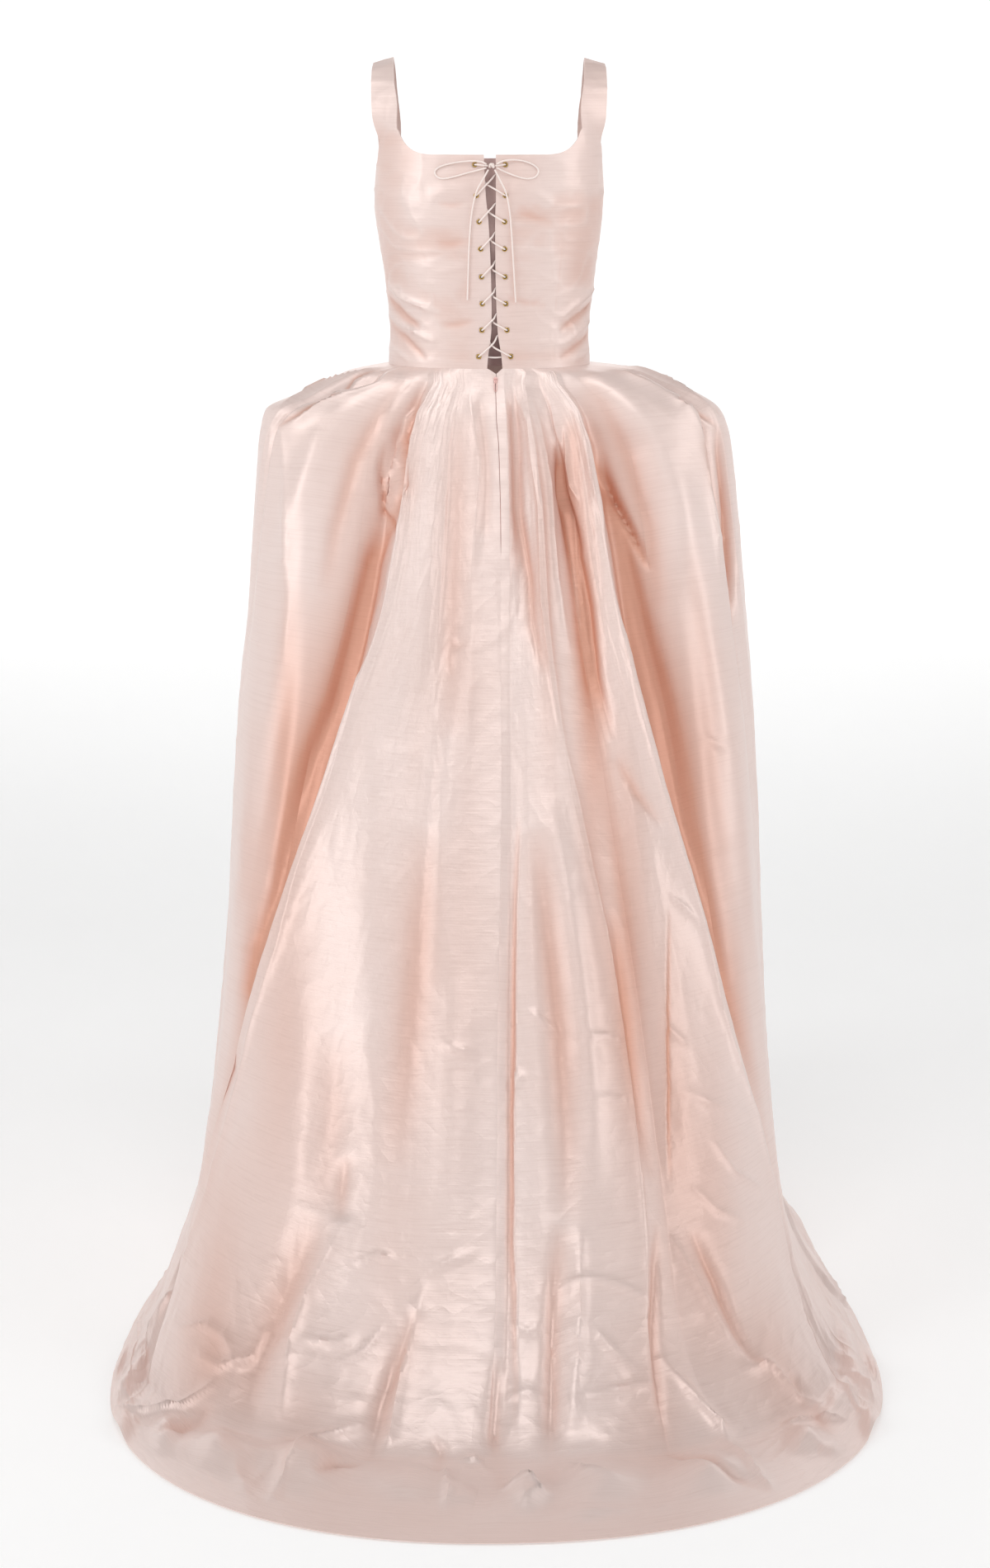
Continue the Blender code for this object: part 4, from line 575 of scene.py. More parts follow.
# Creases of the bodice's back: the same, with the path across it and up it in metres
BACK_CREASES = (
    ("trough", 1.4, .7, ((.0900, .160), (.0815, .139), (.0705, .097), (.0665, .085),
        (.0645, .0005))),
    ("trough", 1.4, .7, ((-.0915, .160), (-.0905, .146), (-.0855, .097), (-.0815, .066),
        (-.0805, .0005))),
    ("ridge", 5, 5.3, ((.128, .105), (.114, .088), (.097, .080), (.080, .074), (.060, .069))),
    ("trough", 5, 4.9, ((.128, .086), (.115, .071), (.102, .059), (.085, .049))),
    ("ridge", 4.5, 4.5, ((.126, .069), (.114, .054), (.097, .046), (.078, .036), (.064, .031))),
    ("trough", 4, 3.6, ((.126, .055), (.106, .036), (.089, .021), (.078, .009))),
    ("ridge", 4, 2.8, ((.126, .030), (.112, .016), (.100, .009))),
    ("swell", 9, 2.4, ((.020, .225), (.050, .217), (.075, .214))),
    ("trough", 6, 1.9, ((.020, .205), (.046, .200), (.070, .203))),
    ("trough", 6, 1.6, ((.020, .158), (.045, .153), (.068, .155))),
    ("ridge", 5, 1.9, ((.018, .128), (.050, .121), (.070, .118))),
    ("trough", 5, 1.9, ((.018, .060), (.040, .054), (.062, .052))),
    ("ridge", 5, 4.9, ((-.134, .096), (-.120, .085), (-.104, .074), (-.088, .060))),
    ("trough", 5, 4.9, ((-.134, .080), (-.118, .066), (-.102, .055), (-.086, .045))),
    ("ridge", 4.5, 4.1, ((-.133, .060), (-.116, .046), (-.100, .033), (-.085, .030))),
    ("trough", 4.5, 3.6, ((-.133, .042), (-.117, .030), (-.100, .018), (-.088, .012))),
    ("ridge", 4, 2.7, ((-.133, .024), (-.118, .013), (-.104, .008))),
    ("swell", 9, 2.4, ((-.024, .222), (-.055, .212), (-.080, .200))),
    ("trough", 6, 1.9, ((-.024, .190), (-.050, .187), (-.080, .180))),
    ("ridge", 5, 1.6, ((-.022, .150), (-.050, .147), (-.082, .140))),
    ("trough", 6, 2, ((-.022, .088), (-.045, .081), (-.075, .078))),
    ("ridge", 5, 1.6, ((-.022, .035), (-.045, .030), (-.075, .033))),
)
# Creases of the bodice's front, which has two waist darts and slight pulls at the waist
FRONT_CREASES = (
    ("trough", 1.4, .7, ((.072, .150), (.070, .100), (.062, .050), (.058, .0005))),
    ("trough", 1.4, .7, ((-.072, .150), (-.070, .100), (-.062, .050), (-.058, .0005))),
    ("ridge", 6.0, 1.6, ((.126, .080), (.100, .064), (.076, .056))),
    ("trough", 6.0, 1.5, ((.126, .058), (.102, .042), (.080, .034))),
    ("ridge", 6.0, 1.6, ((-.126, .084), (-.102, .066), (-.078, .057))),
    ("trough", 6.0, 1.5, ((-.126, .060), (-.104, .045), (-.082, .035))),
    ("swell", 10.0, 1.2, ((-.060, .030), (0.0, .022), (.060, .030))),
)
BODICE_PULLS, BODICE_CRUMPLES = .0013, .0009     # heights of its soft pulls and crumples
BODICE_CALM = .012           # from the eyelets' strip and from the waist to the full height
BODICE_RADIUS = .135         # turns an angle round it into a length
BODICE_SHADE = .003          # a hollow this deep has half the full shade
LACING_SHADE = .13, .030, .032   # under the bow: strength, place from the middle, spread
SIDE_SHADE = .10, .080, .035     # towards the wearer's right side: strength, start, span
BODICE_LOOSE = .30           # how crushed its silk is, where the skirt's is 1
PANEL_FIRST, PANEL_LAST = 8, 90  # angles of a back panel from the eyelets' strip to the side
PANEL_COLUMNS = 32, 19, 16   # before, under and behind the strap
PLACKET_SLACK, PLACKET_TUCK = .0016, .0012       # heights of its upright and slanted folds
PLACKET_LOOSE = .5
ZIP_SLIT, ZIP_COIL, ZIP_PITCH = .0007, .0007, .0011
ZIP_CLOSING = .02            # the slit closes over this height at the zip's lower end
ZIP_WIRE = .00028            # radius of the coil's wire
ZIP_COIL_DEPTH, ZIP_COIL_TOP = .0024, .006       # under the seam, and below the zip's top
# The edge of the placket's folded lower end: its height, half width and relief
MODESTY_BAND = .0125, .0012, .0006
MODESTY_COLUMNS, MODESTY_POINTS = 41, 90
MODESTY_BEND, MODESTY_SLACK = .4, .5     # shares of its half width that curve in and hang loose
# What each free cord of the bow ends in
BOW_ENDS = {
    "lace_loop_left": "object", "lace_loop_right": "object",
    "lace_end_left": "bare", "lace_end_right": "bare",
}

# The forms of the creases, with distances in widths of the crease
CREASE_REACH = 4             # a crease ends at this distance
CREASE_TAPER = .7            # how fast it rises from its two ends
RIDGE_FALL, STEP_FALL = 1.6, 1.3     # how fast a ridge or a step's slope falls
TROUGH_POWER = 1.5
STEP_EDGE = .30              # width of a step's steep edge
STEP_SHADE = .25, .24        # place and half width of the shade under it
FULL_SHADE = .010            # height of a trough that is wholly in the shade
RIM_ANGLE = math.radians(55)    # edges of the cloth sharper than this aren't shaded round
SKIRT_SEAM_GAP, SEAM_GROOVE, SEAM_WIDTH = .00004, .0004, .0022
WAIST_SEAM = .00004          # bodice over skirt
ZIP_STILL = .030             # how far from the zip the creases begin

# Noises of the silk: how fine across and down the cloth, detail and roughness
SILK_NOISES = {
    "slub": (13.0, 420.0, 4.0, .66),
    "thick": (24.0, 150.0, 3.0, .55),
    "weave": (1500.0, 1500.0, 1.0, .5),
    "cloud": (5.0, 3.2, 3.0, .5),
    "crushed": (26.0, 34.0, 4.0, .55),
}
# How they tint it: places of the noise and the colours to multiply by
SILK_STREAKS = ((.32, (.925, .90, .89)), (.50, (.985, .98, .98)), (.68, (1, 1, 1)))
SILK_TONES = ((.34, (.975, .935, .915)), (.66, (1, 1, 1)))

# The studio
CAMERA_PLACE, CAMERA_DIP = (-.0073, 4.2, .33), 11.77     # degrees below the level
CAMERA_LENS, CAMERA_SENSOR = 75.7, 36.0
FLOOR_CLEAR = .0006          # hem to paper
SKY_STRENGTH, SKY_COLOUR = .22, (1, .985, .975, 1)
PAPER_GLOW = .33             # keeps the paper evenly pale out to its rim
# The round paper floor, its curve up and the top of its wall
STUDIO_RADIUS, STUDIO_CURVE, STUDIO_TOP, STUDIO_SIDES, STUDIO_STEP = 10.4, 2.4, 11.8, 64, 7.5
# Lights: name, place, aim, width and height in metres, power in watts
STUDIO_LIGHTS = (
    ("soft_left", (3.0, 2.1, 1.0), (0, .1, -.4), .9, 2.6, 26.5),
    ("soft_right", (-3.3, 1.5, .9), (0, .1, -.4), .9, 2.6, 18),
    ("soft_top", (.1, 1.75, 2.9), (0, .95, -1.1), 1.9, 1.3, 34),
    ("soft_back", (1.2, 4.6, 1.6), (0, .2, -.4), 1.4, 1.4, 3),
    ("soft_front", (0, -3.6, 1.4), (0, 0, -.3), 2.0, 2.4, 12),
    ("wall_light", (0, -5.6, 3.4), (0, -10.6, -1.1), 10.0, 3.0, 230),
)


# Numbers of the tables at any place

def smooth_rows(places, values, at):
    """Monotone cubic through the rows of a table, read at one or more places."""
    places = np.asarray(places, float)
    values = np.asarray(values, float)
    at = np.clip(np.asarray(at, float), places[0], places[-1])
    step = np.diff(places)
    slope = (np.diff(values, axis=0).T / step).T
    tangent = np.zeros_like(values)
    tangent[0], tangent[-1] = slope[0], slope[-1]
    product = slope[:-1] * slope[1:]
    total = np.where(product > 0, slope[:-1] + slope[1:], 1.0)
    tangent[1:-1] = np.where(product > 0, 2 * product / total, 0.0)
    low = np.clip(np.searchsorted(places, at, side="right") - 1, 0, len(places) - 2)
    part = (at - places[low]) / step[low]
    shape = (1 + 2 * part) * (1 - part) ** 2, part * (1 - part) ** 2 * step[low]
    shape += (part ** 2 * (3 - 2 * part), part ** 2 * (part - 1) * step[low])
    if values.ndim > 1 and at.ndim > 0:
        shape = tuple(item[:, None] for item in shape)
    return (shape[0] * values[low] + shape[1] * tangent[low]
            + shape[2] * values[low + 1] + shape[3] * tangent[low + 1])


def ease(value):
    value = np.clip(value, 0.0, 1.0)
    return value * value * (3 - 2 * value)


def over(level, change):
    """From 0 to 1 down the skirt, over a change of (start, span) in section levels."""
    start, span = change
    return ease((level - start) / span)


def lattice(column, row, seed):
    value = np.sin(column * 127.1 + row * 311.7 + seed * 74.7) * 43758.5453
    return value - np.floor(value)


def cloth_noise(across, down, seed):
    """Smooth noise from -1 to 1 over the cloth's own two directions."""
    column, row = np.floor(across), np.floor(down)
    u, v = across - column, down - row
    u, v = u * u * u * (u * (u * 6 - 15) + 10), v * v * v * (v * (v * 6 - 15) + 10)
    low = lattice(column, row, seed) * (1 - u) + lattice(column + 1, row, seed) * u
    high = lattice(column, row + 1, seed) * (1 - u) + lattice(column + 1, row + 1, seed) * u
    return (low * (1 - v) + high * v) * 2 - 1


def crumple(across, down, seed):
    """Flat facets that meet in sharp ridges, as crushed taffeta has."""
    warp = cloth_noise(across * .7 + 3.1, down * .7, seed + 5) * .8
    first = 1 - np.abs(cloth_noise(across + warp, down - warp, seed))
    second = 1 - np.abs(cloth_noise(across * 2.3 - warp, down * 2.1 + warp, seed + 11))
    return (first ** 3 - .45) + .45 * (second ** 3 - .45)


def ribs(across, down, seed):
    return .5 - np.abs(cloth_noise(across, down, seed))


def buckles(across, down, seed):
    return np.maximum(crumple(across, down, seed), 0)


LAYER_KINDS = {"facets": crumple, "waves": cloth_noise, "ribs": ribs, "buckles": buckles}


def unit(vectors):
    return vectors / np.maximum(np.linalg.norm(vectors, axis=-1, keepdims=True), 1e-12)


def grid_normals(grid, closed=False):
    """Unit normals of a grid of points, by its two directions."""
    if closed:
        first = np.roll(grid, -1, axis=0) - np.roll(grid, 1, axis=0)
    else:
        first = np.gradient(grid, axis=0)
    return unit(np.cross(first, np.gradient(grid, axis=1)))


# Creases placed one by one

def placed_creases(creases, place, strength):
    """A table's creases in metres, with their paths as points of the cloth."""
    return [(kind, width / 1000, height / 1000 * strength, [place(*spot) for spot in path])
            for kind, width, height, path in creases]


def crease_heights(points, normals, creases):
    """How far each point stands out for a list of creases, (kind, width, height, path),
    and how deep it lies in their shade. A ridge, a trough and a swell are even on both
    sides. A step slopes away slowly on the left of its path and falls within a third of
    its width on the right, where its shade lies."""
    total, shade = np.zeros(len(points)), np.zeros(len(points))
    for kind, width, height, path in creases:
        path = np.asarray(path, float)
        reach = width * CREASE_REACH
        low, high = path.min(axis=0) - reach, path.max(axis=0) + reach
        index = np.nonzero(np.all((points > low) & (points < high), axis=1))[0]
        if not len(index):
            continue
        spot, way_out = points[index], normals[index]
        best = np.full(len(index), 1e9)
        place = np.zeros(len(index))
        side = np.ones(len(index))
        lengths = np.linalg.norm(np.diff(path, axis=0), axis=1)
        before = np.concatenate([[0], np.cumsum(lengths)])
        for start, end, length, done in zip(path, path[1:], lengths, before):
            along = (end - start) / length
            share = np.clip((spot - start) @ along, 0, length)
            gap = spot - (start + share[:, None] * along)
            distance = np.linalg.norm(gap, axis=1)
            closer = distance < best
            best[closer] = distance[closer]
            place[closer] = ((done + share) / before[-1])[closer]
            turned = np.einsum("ij,ij->i", np.cross(along, gap), way_out)
            side[closer] = np.sign(turned[closer])
        taper = np.clip(np.sin(math.pi * np.clip(place, 0, 1)), 0, 1) ** CREASE_TAPER
        near_share = best / width
        if kind == "ridge":
            shape = np.exp(-near_share * RIDGE_FALL)
        elif kind == "trough":
            shape = -1 / (1 + near_share ** 2) ** TROUGH_POWER
        elif kind == "swell":
            shape = np.exp(-near_share ** 2)
        else:
            drop = np.clip(1 - best / (width * STEP_EDGE), 0, 1)
            shape = np.where(side > 0, np.exp(-near_share * STEP_FALL), drop ** 2)
        total[index] += height * taper * shape
        if kind == "trough":
            shade[index] += taper * -shape * min(height / FULL_SHADE, 1)
        elif kind == "step":
            middle, half = STEP_SHADE
            shade[index] += taper * np.exp(-((near_share * -side - middle) / half) ** 2)
    return total, np.minimum(shade, 1)


# Meshes

def mesh_object(name, points, faces, finish):
    mesh = bpy.data.meshes.new(name)
    mesh.from_pydata([tuple(p) for p in points], [], [tuple(f) for f in faces])
    mesh.validate()
    mesh.update()
    mesh.shade_smooth()
    mesh.materials.append(finish)
    made = bpy.data.objects.new(name, mesh)
    bpy.context.scene.collection.objects.link(made)
    return made


def store_values(made, name, values):
    field = made.data.attributes.new(name, "FLOAT", "POINT")
    field.data.foreach_set("value", np.asarray(values, np.float32).ravel())


def grid_faces(numbers):
    """Four-cornered faces of a grid of point numbers."""
    a, b = numbers[:-1, :-1].ravel(), numbers[:-1, 1:].ravel()
    c, d = numbers[1:, 1:].ravel(), numbers[1:, :-1].ravel()
    return np.stack([a, b, c, d], 1)


def grid_numbers(grid, start=0):
    """A number for each point of a grid."""
    return start + np.arange(grid.shape[0] * grid.shape[1]).reshape(grid.shape[:2])


def face_crosses(points, faces):
    """The normal of each four-cornered face, as long as twice its area."""
    first = points[faces[:, 2]] - points[faces[:, 0]]
    return np.cross(first, points[faces[:, 3]] - points[faces[:, 1]])


def tube_faces(rings, sides):
    """Faces of a closed tube, made of rings that each have the same number of points."""
    faces = []
    for ring in range(rings):
        here, after = ring * sides, (ring + 1) % rings * sides
        for k in range(sides):
            other = (k + 1) % sides
            faces.append([here + k, after + k, after + other, here + other])
    return faces


def face_normals(points, faces):
    """Unit normals at the points, from the faces round them."""
    flat = face_crosses(points, faces)
    total = np.zeros_like(points)
    for corner in range(4):
        np.add.at(total, faces[:, corner], flat)
    return unit(total)


def cloth_shell(name, points, normals, faces, wall, finish, fields):
    """A thin closed shell: the points, the same points moved in, and the rim round both.
    fields holds numbers for the material by name, one for each point."""
    count = len(points)
    edges = np.vstack([faces[:, [k, (k + 1) % 4]] for k in range(4)])
    one_way = edges[:, 0] * count + edges[:, 1]
    other_way = edges[:, 1] * count + edges[:, 0]
    open_edges = edges[~np.isin(one_way, other_way)]
    start, end = open_edges[:, 0], open_edges[:, 1]
    rim = np.stack([end, start, start + count, end + count], 1)
    shell = np.vstack([faces, faces[:, ::-1] + count, rim])
    if np.einsum("ij,ij->i", face_crosses(points, faces), normals[faces[:, 0]]).sum() < 0:
        shell = shell[:, ::-1]
    made = mesh_object(name, np.vstack([points, points - normals * wall]), shell, finish)
    made.data.set_sharp_from_angle(angle=RIM_ANGLE)
    for field, values in fields.items():
        store_values(made, field, np.concatenate([np.ravel(values)] * 2))
    return made


# The skirt's form

def skirt_section(level):
    values = smooth_rows(range(len(SKIRT_ROWS)), list(SKIRT_ROWS.values()), level)
    return dict(zip(SKIRT_COLUMNS, values.T))


def skirt_base(angle, level):
    """The plain form without folds, at angles from the back and section levels."""
    row = skirt_section(level)
    power = 2 / row["square"]
    turn = np.radians(angle)
    across, along = np.sin(turn), np.cos(turn)
    half = np.where(across >= 0, row["left"], row["right"])
    x = np.sign(across) * half * np.abs(across) ** power
    reach = np.where(along >= 0, row["back"], row["front"]) - row["side"]
    y = row["side"] + reach * np.abs(along) ** power
    from_back = np.abs((angle + 180) % 360 - 180)
    behind = ease((SIDE_HANGING - from_back) / (SIDE_HANGING - SIDE_ON_FLOOR))
    z = row["z_front"] + (row["z_back"] - row["z_front"]) * behind
    return np.stack([x, y, z], -1)


def skirt_levels(count):
    """Section levels, closer together over the hips, and their places down the train."""
    dense = np.linspace(0, len(SKIRT_ROWS) - 1, LEVEL_SAMPLES)
    line = skirt_base(np.zeros_like(dense), dense)
    length = np.concatenate([[0], np.cumsum(np.linalg.norm(np.diff(line, axis=0), axis=1))])
    crowding, hips = HIP_CROWDING
    share = np.linspace(0, 1, count)
    spread = np.cumsum(1 - crowding * np.exp(-(share / hips) ** 2))
    spread = (spread - spread[0]) / (spread[-1] - spread[0])
    return np.interp(spread * length[-1], length, dense), spread * length[-1]


def fold_shares(steps, near_start, near_end):
    """Places between two fold lines, closer together beside a crisp line."""
    share = np.arange(steps) / steps
    if near_start and near_end:
        return share - .5 * np.sin(2 * math.pi * share) / (2 * math.pi)
    if near_start:
        return share ** CRISP_CROWDING
    if near_end:
        return 1 - (1 - share) ** CRISP_CROWDING
    return share


def bend(share, power):
    """A share of a face that changes fast near 0, if the power is under 1."""
    start = BEND_START ** power
    return ((share + BEND_START) ** power - start) / ((1 + BEND_START) ** power - start)


def skirt_grid(sizes):
    """The folded skirt: its points, and their angles, heights and places in the cloth."""
    level, lengths = skirt_levels(sizes.skirt_rows)
    angles = np.array([row[0] for row in FOLDS.values()], float)
    heights = np.array([row[1] for row in FOLDS.values()], float) / 1000
    line_angle = smooth_rows(FOLD_STATIONS, angles.T, level).T
    line_height = smooth_rows(FOLD_STATIONS, heights.T, level).T
    line_angle = np.vstack([line_angle, line_angle[:1] + 360])
    line_height = np.vstack([line_height, line_height[:1]])
    names = FOLD_NAMES + FOLD_NAMES[:1]
    ends = skirt_base(line_angle, level)
    column_angle, column_height, looseness, starts = [], [], [], {}
    for line, name in enumerate(FOLD_NAMES):
        starts[name] = len(column_angle)
        at_hem = abs((angles[line][-1] + 180) % 360 - 180)
        spacing = sizes.back_spacing if at_hem < TRAIN_SPREAD else sizes.front_spacing
        wide = np.linalg.norm(ends[line + 1] - ends[line], axis=1).max()
        steps = max(3, int(math.ceil(wide / spacing)))
        shares = fold_shares(steps, name in CRISP_LINES, names[line + 1] in CRISP_LINES)
        end, power = BENDS.get(name, (None, 1))
        for share in shares:
            bent = share
            if end == "start":
                bent = bend(share, power)
            elif end == "end":
                bent = 1 - bend(1 - share, power)
            column_angle.append(line_angle[line] * (1 - share) + line_angle[line + 1] * share)
            column_height.append(line_height[line] * (1 - bent) + line_height[line + 1] * bent)
            loose = 1.0
            if share * steps < CRISP_REACH:
                loose = CRISP_LINES.get(name, 1.0) + CRISP_EASE * share * steps
            if (1 - share) * steps < CRISP_REACH:
                loose = CRISP_LINES.get(names[line + 1], 1.0) + CRISP_EASE * (1 - share) * steps
            looseness.append(min(loose, 1.0))
    angle, height = np.array(column_angle), np.array(column_height)
    weight = np.array(looseness)[:, None] * .5
    for _ in range(sizes.fold_smoothing):
        middle = (np.roll(height, 1, axis=0) + np.roll(height, -1, axis=0)) / 2
        height = height + (middle - height) * weight
    plain = skirt_base(angle, level)
    grid = plain + grid_normals(plain, True) * height[:, :, None]
    down = np.broadcast_to(lengths, angle.shape)
    reference = int(len(level) * ACROSS_LEVEL)
    widths = np.linalg.norm(np.roll(grid, -1, axis=0) - grid, axis=2)[:, reference]
    across = np.broadcast_to(np.concatenate([[0], np.cumsum(widths)[:-1]])[:, None], angle.shape)
    return {"grid": grid, "angle": angle, "level": level, "height": height,
            "down": down, "across": across, "starts": starts}


def skirt_place(form, angle, level):
    """The point of the folded skirt at an angle and a section level."""
    row = np.interp(level, form["level"], np.arange(len(form["level"])))
    low = min(int(row), len(form["level"]) - 2)
    part = row - low
    places = []
    for r in (low, low + 1):
        ring = form["angle"][:, r]
        column = np.interp(angle, ring, np.arange(len(ring)))
        c = min(int(column), len(ring) - 2)
        share = column - c
        places.append(form["grid"][c, r] * (1 - share) + form["grid"][c + 1, r] * share)
    return places[0] * (1 - part) + places[1] * part


def skirt_crumples(across, down, level):
    """Heights of the small crumples over the skirt, strongest where it is crushed."""
    low, calm = over(level, CRUSHED), over(level, HEM_CALM)
    ways = {"across": across, "down": down,
            "slant": across * .8 + down * .6, "rise": down * .8 - across * .6}
    parts = {"low": low, "calm": calm, "lively": liveliness(low), "calmer": .4 + .6 * calm,
             "lying": over(level, LYING), "draped": over(level, DRAPED) * (1 - .75 * low)}
    total = 0
    for kind, height, first, scale, begin, second, second_scale, seed, shown in SKIRT_LAYERS:
        place = ways[first] * scale + begin, ways[second] * second_scale
        layer = LAYER_KINDS[kind](*place, seed) * height
        for part in shown:
            layer = layer * parts[part]
        total = total + layer
    return total


def liveliness(low):
    """How crumpled the skirt is: a little near the waist, and wholly below."""
    return .42 + .58 * low


def land_hem(grid, form, sizes):
    """Lifts parts of the hem, adds small waves behind it and keeps it over the floor."""
    level = form["level"][None, :]
    grid[:, :, 2] += sum(lift / 1000 * near_place(form, *place) for *place, lift in HEM_LIFTS)
    at, spread = HEM_LANDING
    waves = np.maximum(cloth_noise(form["across"] * 6.5 + 2, form["down"] * 2, 14), HEM_DIP)
    grid[:, :, 2] += waves * HEM_WAVE * np.exp(-((level - at) / spread) ** 2)
    top = FLOOR + sizes.skirt_wall + HEM_CLEAR
    height = grid[:, :, 2]
    resting = top + HEM_SOFT * np.exp((height - top - HEM_SOFT) / HEM_SOFT)
    grid[:, :, 2] = np.maximum(np.where(height < top + HEM_SOFT, resting, height), top)


def near_place(form, angle, at, half_angle, half_level):
    """From 1 at an angle and a section level to 0 away from them."""
    level = form["level"][None, :]
    return np.exp(-((form["angle"] - angle) / half_angle) ** 2 - ((level - at) / half_level) ** 2)


def notch_waist(grid, column):
    """Pulls the waist's edge down over the zip."""
    drop = grid[column, 1] - grid[column, 0]
    reach = np.linalg.norm(grid[:, 0] - grid[column, 0], axis=1)
    notch = WAIST_NOTCH * np.clip(1 - reach / NOTCH_REACH, 0, 1)
    for row in range(NOTCH_ROWS):
        grid[:, row] += unit(drop) * (notch * (1 - row / NOTCH_ROWS))[:, None]


def finish_skirt(form, sizes):
    """Adds the creases, the crumples, the seams' grooves and the lifts of the hem."""
    grid = form["grid"]
    normals = grid_normals(grid, True)
    creases = placed_creases(SKIRT_CREASES, lambda angle, level: skirt_place(form, angle, level),
                             sizes.crease_strength)
    raised, shade = (values.reshape(grid.shape[:2]) for values in
                     crease_heights(grid.reshape(-1, 3), normals.reshape(-1, 3), creases))
    across, down, level = form["across"], form["down"], form["level"][None, :]
    fine = skirt_crumples(across, down, level)
    centre = grid[form["starts"]["seam_centre"]][None, :, :]
    from_zip = np.linalg.norm(grid - centre, axis=2) + np.maximum(ZIP_BOTTOM - centre[:, :, 2], 0)
    still = np.clip(level / CREASES_BEGIN, 0, 1) * ease(from_zip / ZIP_STILL)
    total = raised * still + fine * sizes.crumple_strength * still
    for name in SEAM_LINES:
        column = form["starts"][name]
        distance = np.linalg.norm(grid - grid[column][None, :, :], axis=2)
        groove = SEAM_GROOVE * np.exp(-(distance / SEAM_WIDTH) ** 2)
        total -= groove * np.clip(level / GROOVES_BEGIN, 0, 1)
        pucker = cloth_noise(down * PUCKER_SCALE, np.full_like(down, .5), PUCKER_SEED + column)
        pucker *= PUCKER_HEIGHT * np.exp(-(distance / PUCKER_WIDTH) ** 2)
        total += pucker * np.clip(level / PUCKERS_BEGIN, 0, 1)
    grid = grid + normals * total[:, :, None]
    land_hem(grid, form, sizes)
    notch_waist(grid, form["starts"]["seam_centre"])
    low = over(level, CRUSHED)
    # Painted shade in the depth field: darker and warmer in the large folds, in the creases'
    # hollows and under their steps, and at the warm shade places; less on the hem, which lies open
    # to the light
    begin, span = FOLD_DEPTH
    in_fold = np.clip((-form["height"] - begin) / span, 0, 1) ** .9
    in_fold = in_fold * (.50 + .50 * over(level, FOLD_SHADE))
    in_crease = shade * still * (.85 - .50 * low)
    warm_shade = sum(share * near_place(form, *place) for *place, share in WARM_SHADE_PLACES)
    depth = np.clip(in_fold + in_crease + warm_shade, 0, 1)
    form["depth"] = depth * (1 - .7 * over(level, HEM_LIGHT))
    form["loose"] = liveliness(low) * np.ones_like(total)
    form["grid"], form["normals"] = grid, grid_normals(grid, True)
    return form


def skirt_piece(form, name, start, end, sizes, finish):
    """One panel of the skirt between two fold lines, with its share of the seams' gaps."""
    count = form["grid"].shape[0]
    first, last = form["starts"][start], form["starts"][end]
    if last <= first:
        last += count
    columns = np.arange(first, last + 1) % count
    grid, normals = form["grid"][columns], form["normals"][columns]
    for edge, beside, line in ((0, 1, start), (-1, -2, end)):
        gap = np.full(grid.shape[1], SKIRT_SEAM_GAP / 2)
        if line == "seam_centre":
            gap += ZIP_SLIT / 2 * ease((grid[edge][:, 2] - ZIP_BOTTOM) / ZIP_CLOSING)
        grid[edge] += unit(grid[beside] - grid[edge]) * gap[:, None]
    fields = {field: form[field][columns] for field in CLOTH_FIELDS}
    return cloth_shell(name, grid.reshape(-1, 3), normals.reshape(-1, 3),
                       grid_faces(grid_numbers(grid)), sizes.skirt_wall, finish, fields)


# The bodice's form

def bodice_section(height):
    rows = np.array(list(BODICE_ROWS.values()))
    return dict(zip(BODICE_COLUMNS, smooth_rows(rows[:, 0], rows, height).T))


def bodice_by_angle(angle, height):
    """Points of the bodice at angles from the middle of the back."""
    row = bodice_section(height)
    power = 2 / row["square"]
    turn = np.radians(angle)
    across, along = np.sin(turn), np.cos(turn)
    x = np.sign(across) * row["half_width"] * np.abs(across) ** power
    y = np.where(along >= 0, row["back"], row["front"]) * np.abs(along) ** power
    return np.stack(np.broadcast_arrays(x, y, height), -1)


def bodice_by_x(x, height, face="back"):
    """A point of the bodice's back or front at a place across it."""
    row = bodice_section(height)
    share = min(abs(x) / row["half_width"], 1)
    square = row["square"]
    return np.array([x, row[face] * (1 - share ** square) ** (1 / square), height])


def back_normal(x, height):
    step = 0.0005
    across = bodice_by_x(x + step, height) - bodice_by_x(x - step, height)
    low, high = max(height - 0.002, 0), height + 0.002
    normal = unit(np.cross(bodice_by_x(x, high) - bodice_by_x(x, low), across))
    return normal if normal[1] > 0 else -normal


def gap_at(height):
    """Middle and width of the lacing gap."""
    rows = np.array(LACING_ROWS)
    low = rows[0] + (rows[0] - rows[1]) * GAP_FLARE
    high = rows[-1] + (rows[-1] - rows[-2]) * GAP_FLARE
    low[0], high[0] = 0.0, NECKLINE
    rows = np.vstack([low, rows, high])
    return smooth_rows(rows[:, 0], rows[:, 1:], height)


def gap_edge(side, height):
    middle, width = gap_at(height)
    return middle + side * width / 2


def placket_point(side, inset, height, out):
    """A place over the flat strip beside the gap, or over the gap if inset is negative."""
    edge = gap_edge(side, height)
    start = bodice_by_x(edge, height)
    end = bodice_by_x(edge + side * PLACKET_WIDTH, height)
    across = (end - start) / PLACKET_WIDTH
    upright = bodice_by_x(edge, height + .004) - bodice_by_x(edge, height - .004)
    normal = unit(np.cross(across, upright) * side)
    if normal[1] < 0:
        normal = -normal
    return start + across * inset + normal * out, normal


def over_back(x, height, out):
    """A place over the bodice's back, out of the cloth."""
    left, right = gap_edge(1, height), gap_edge(-1, height)
    if right - PLACKET_WIDTH < x < left + PLACKET_WIDTH:
        middle = (left + right) / 2
        side = 1 if x >= middle else -1
        return placket_point(side, side * (x - gap_edge(side, height)), height, out)[0]
    return bodice_by_x(x, height) + back_normal(x, height) * out


def top_edge(angle, column):
    rows = np.array(TOP_EDGE)
    return smooth_rows(rows[:, 0], rows[:, TOP_EDGE_COLUMNS.index(column)], angle)


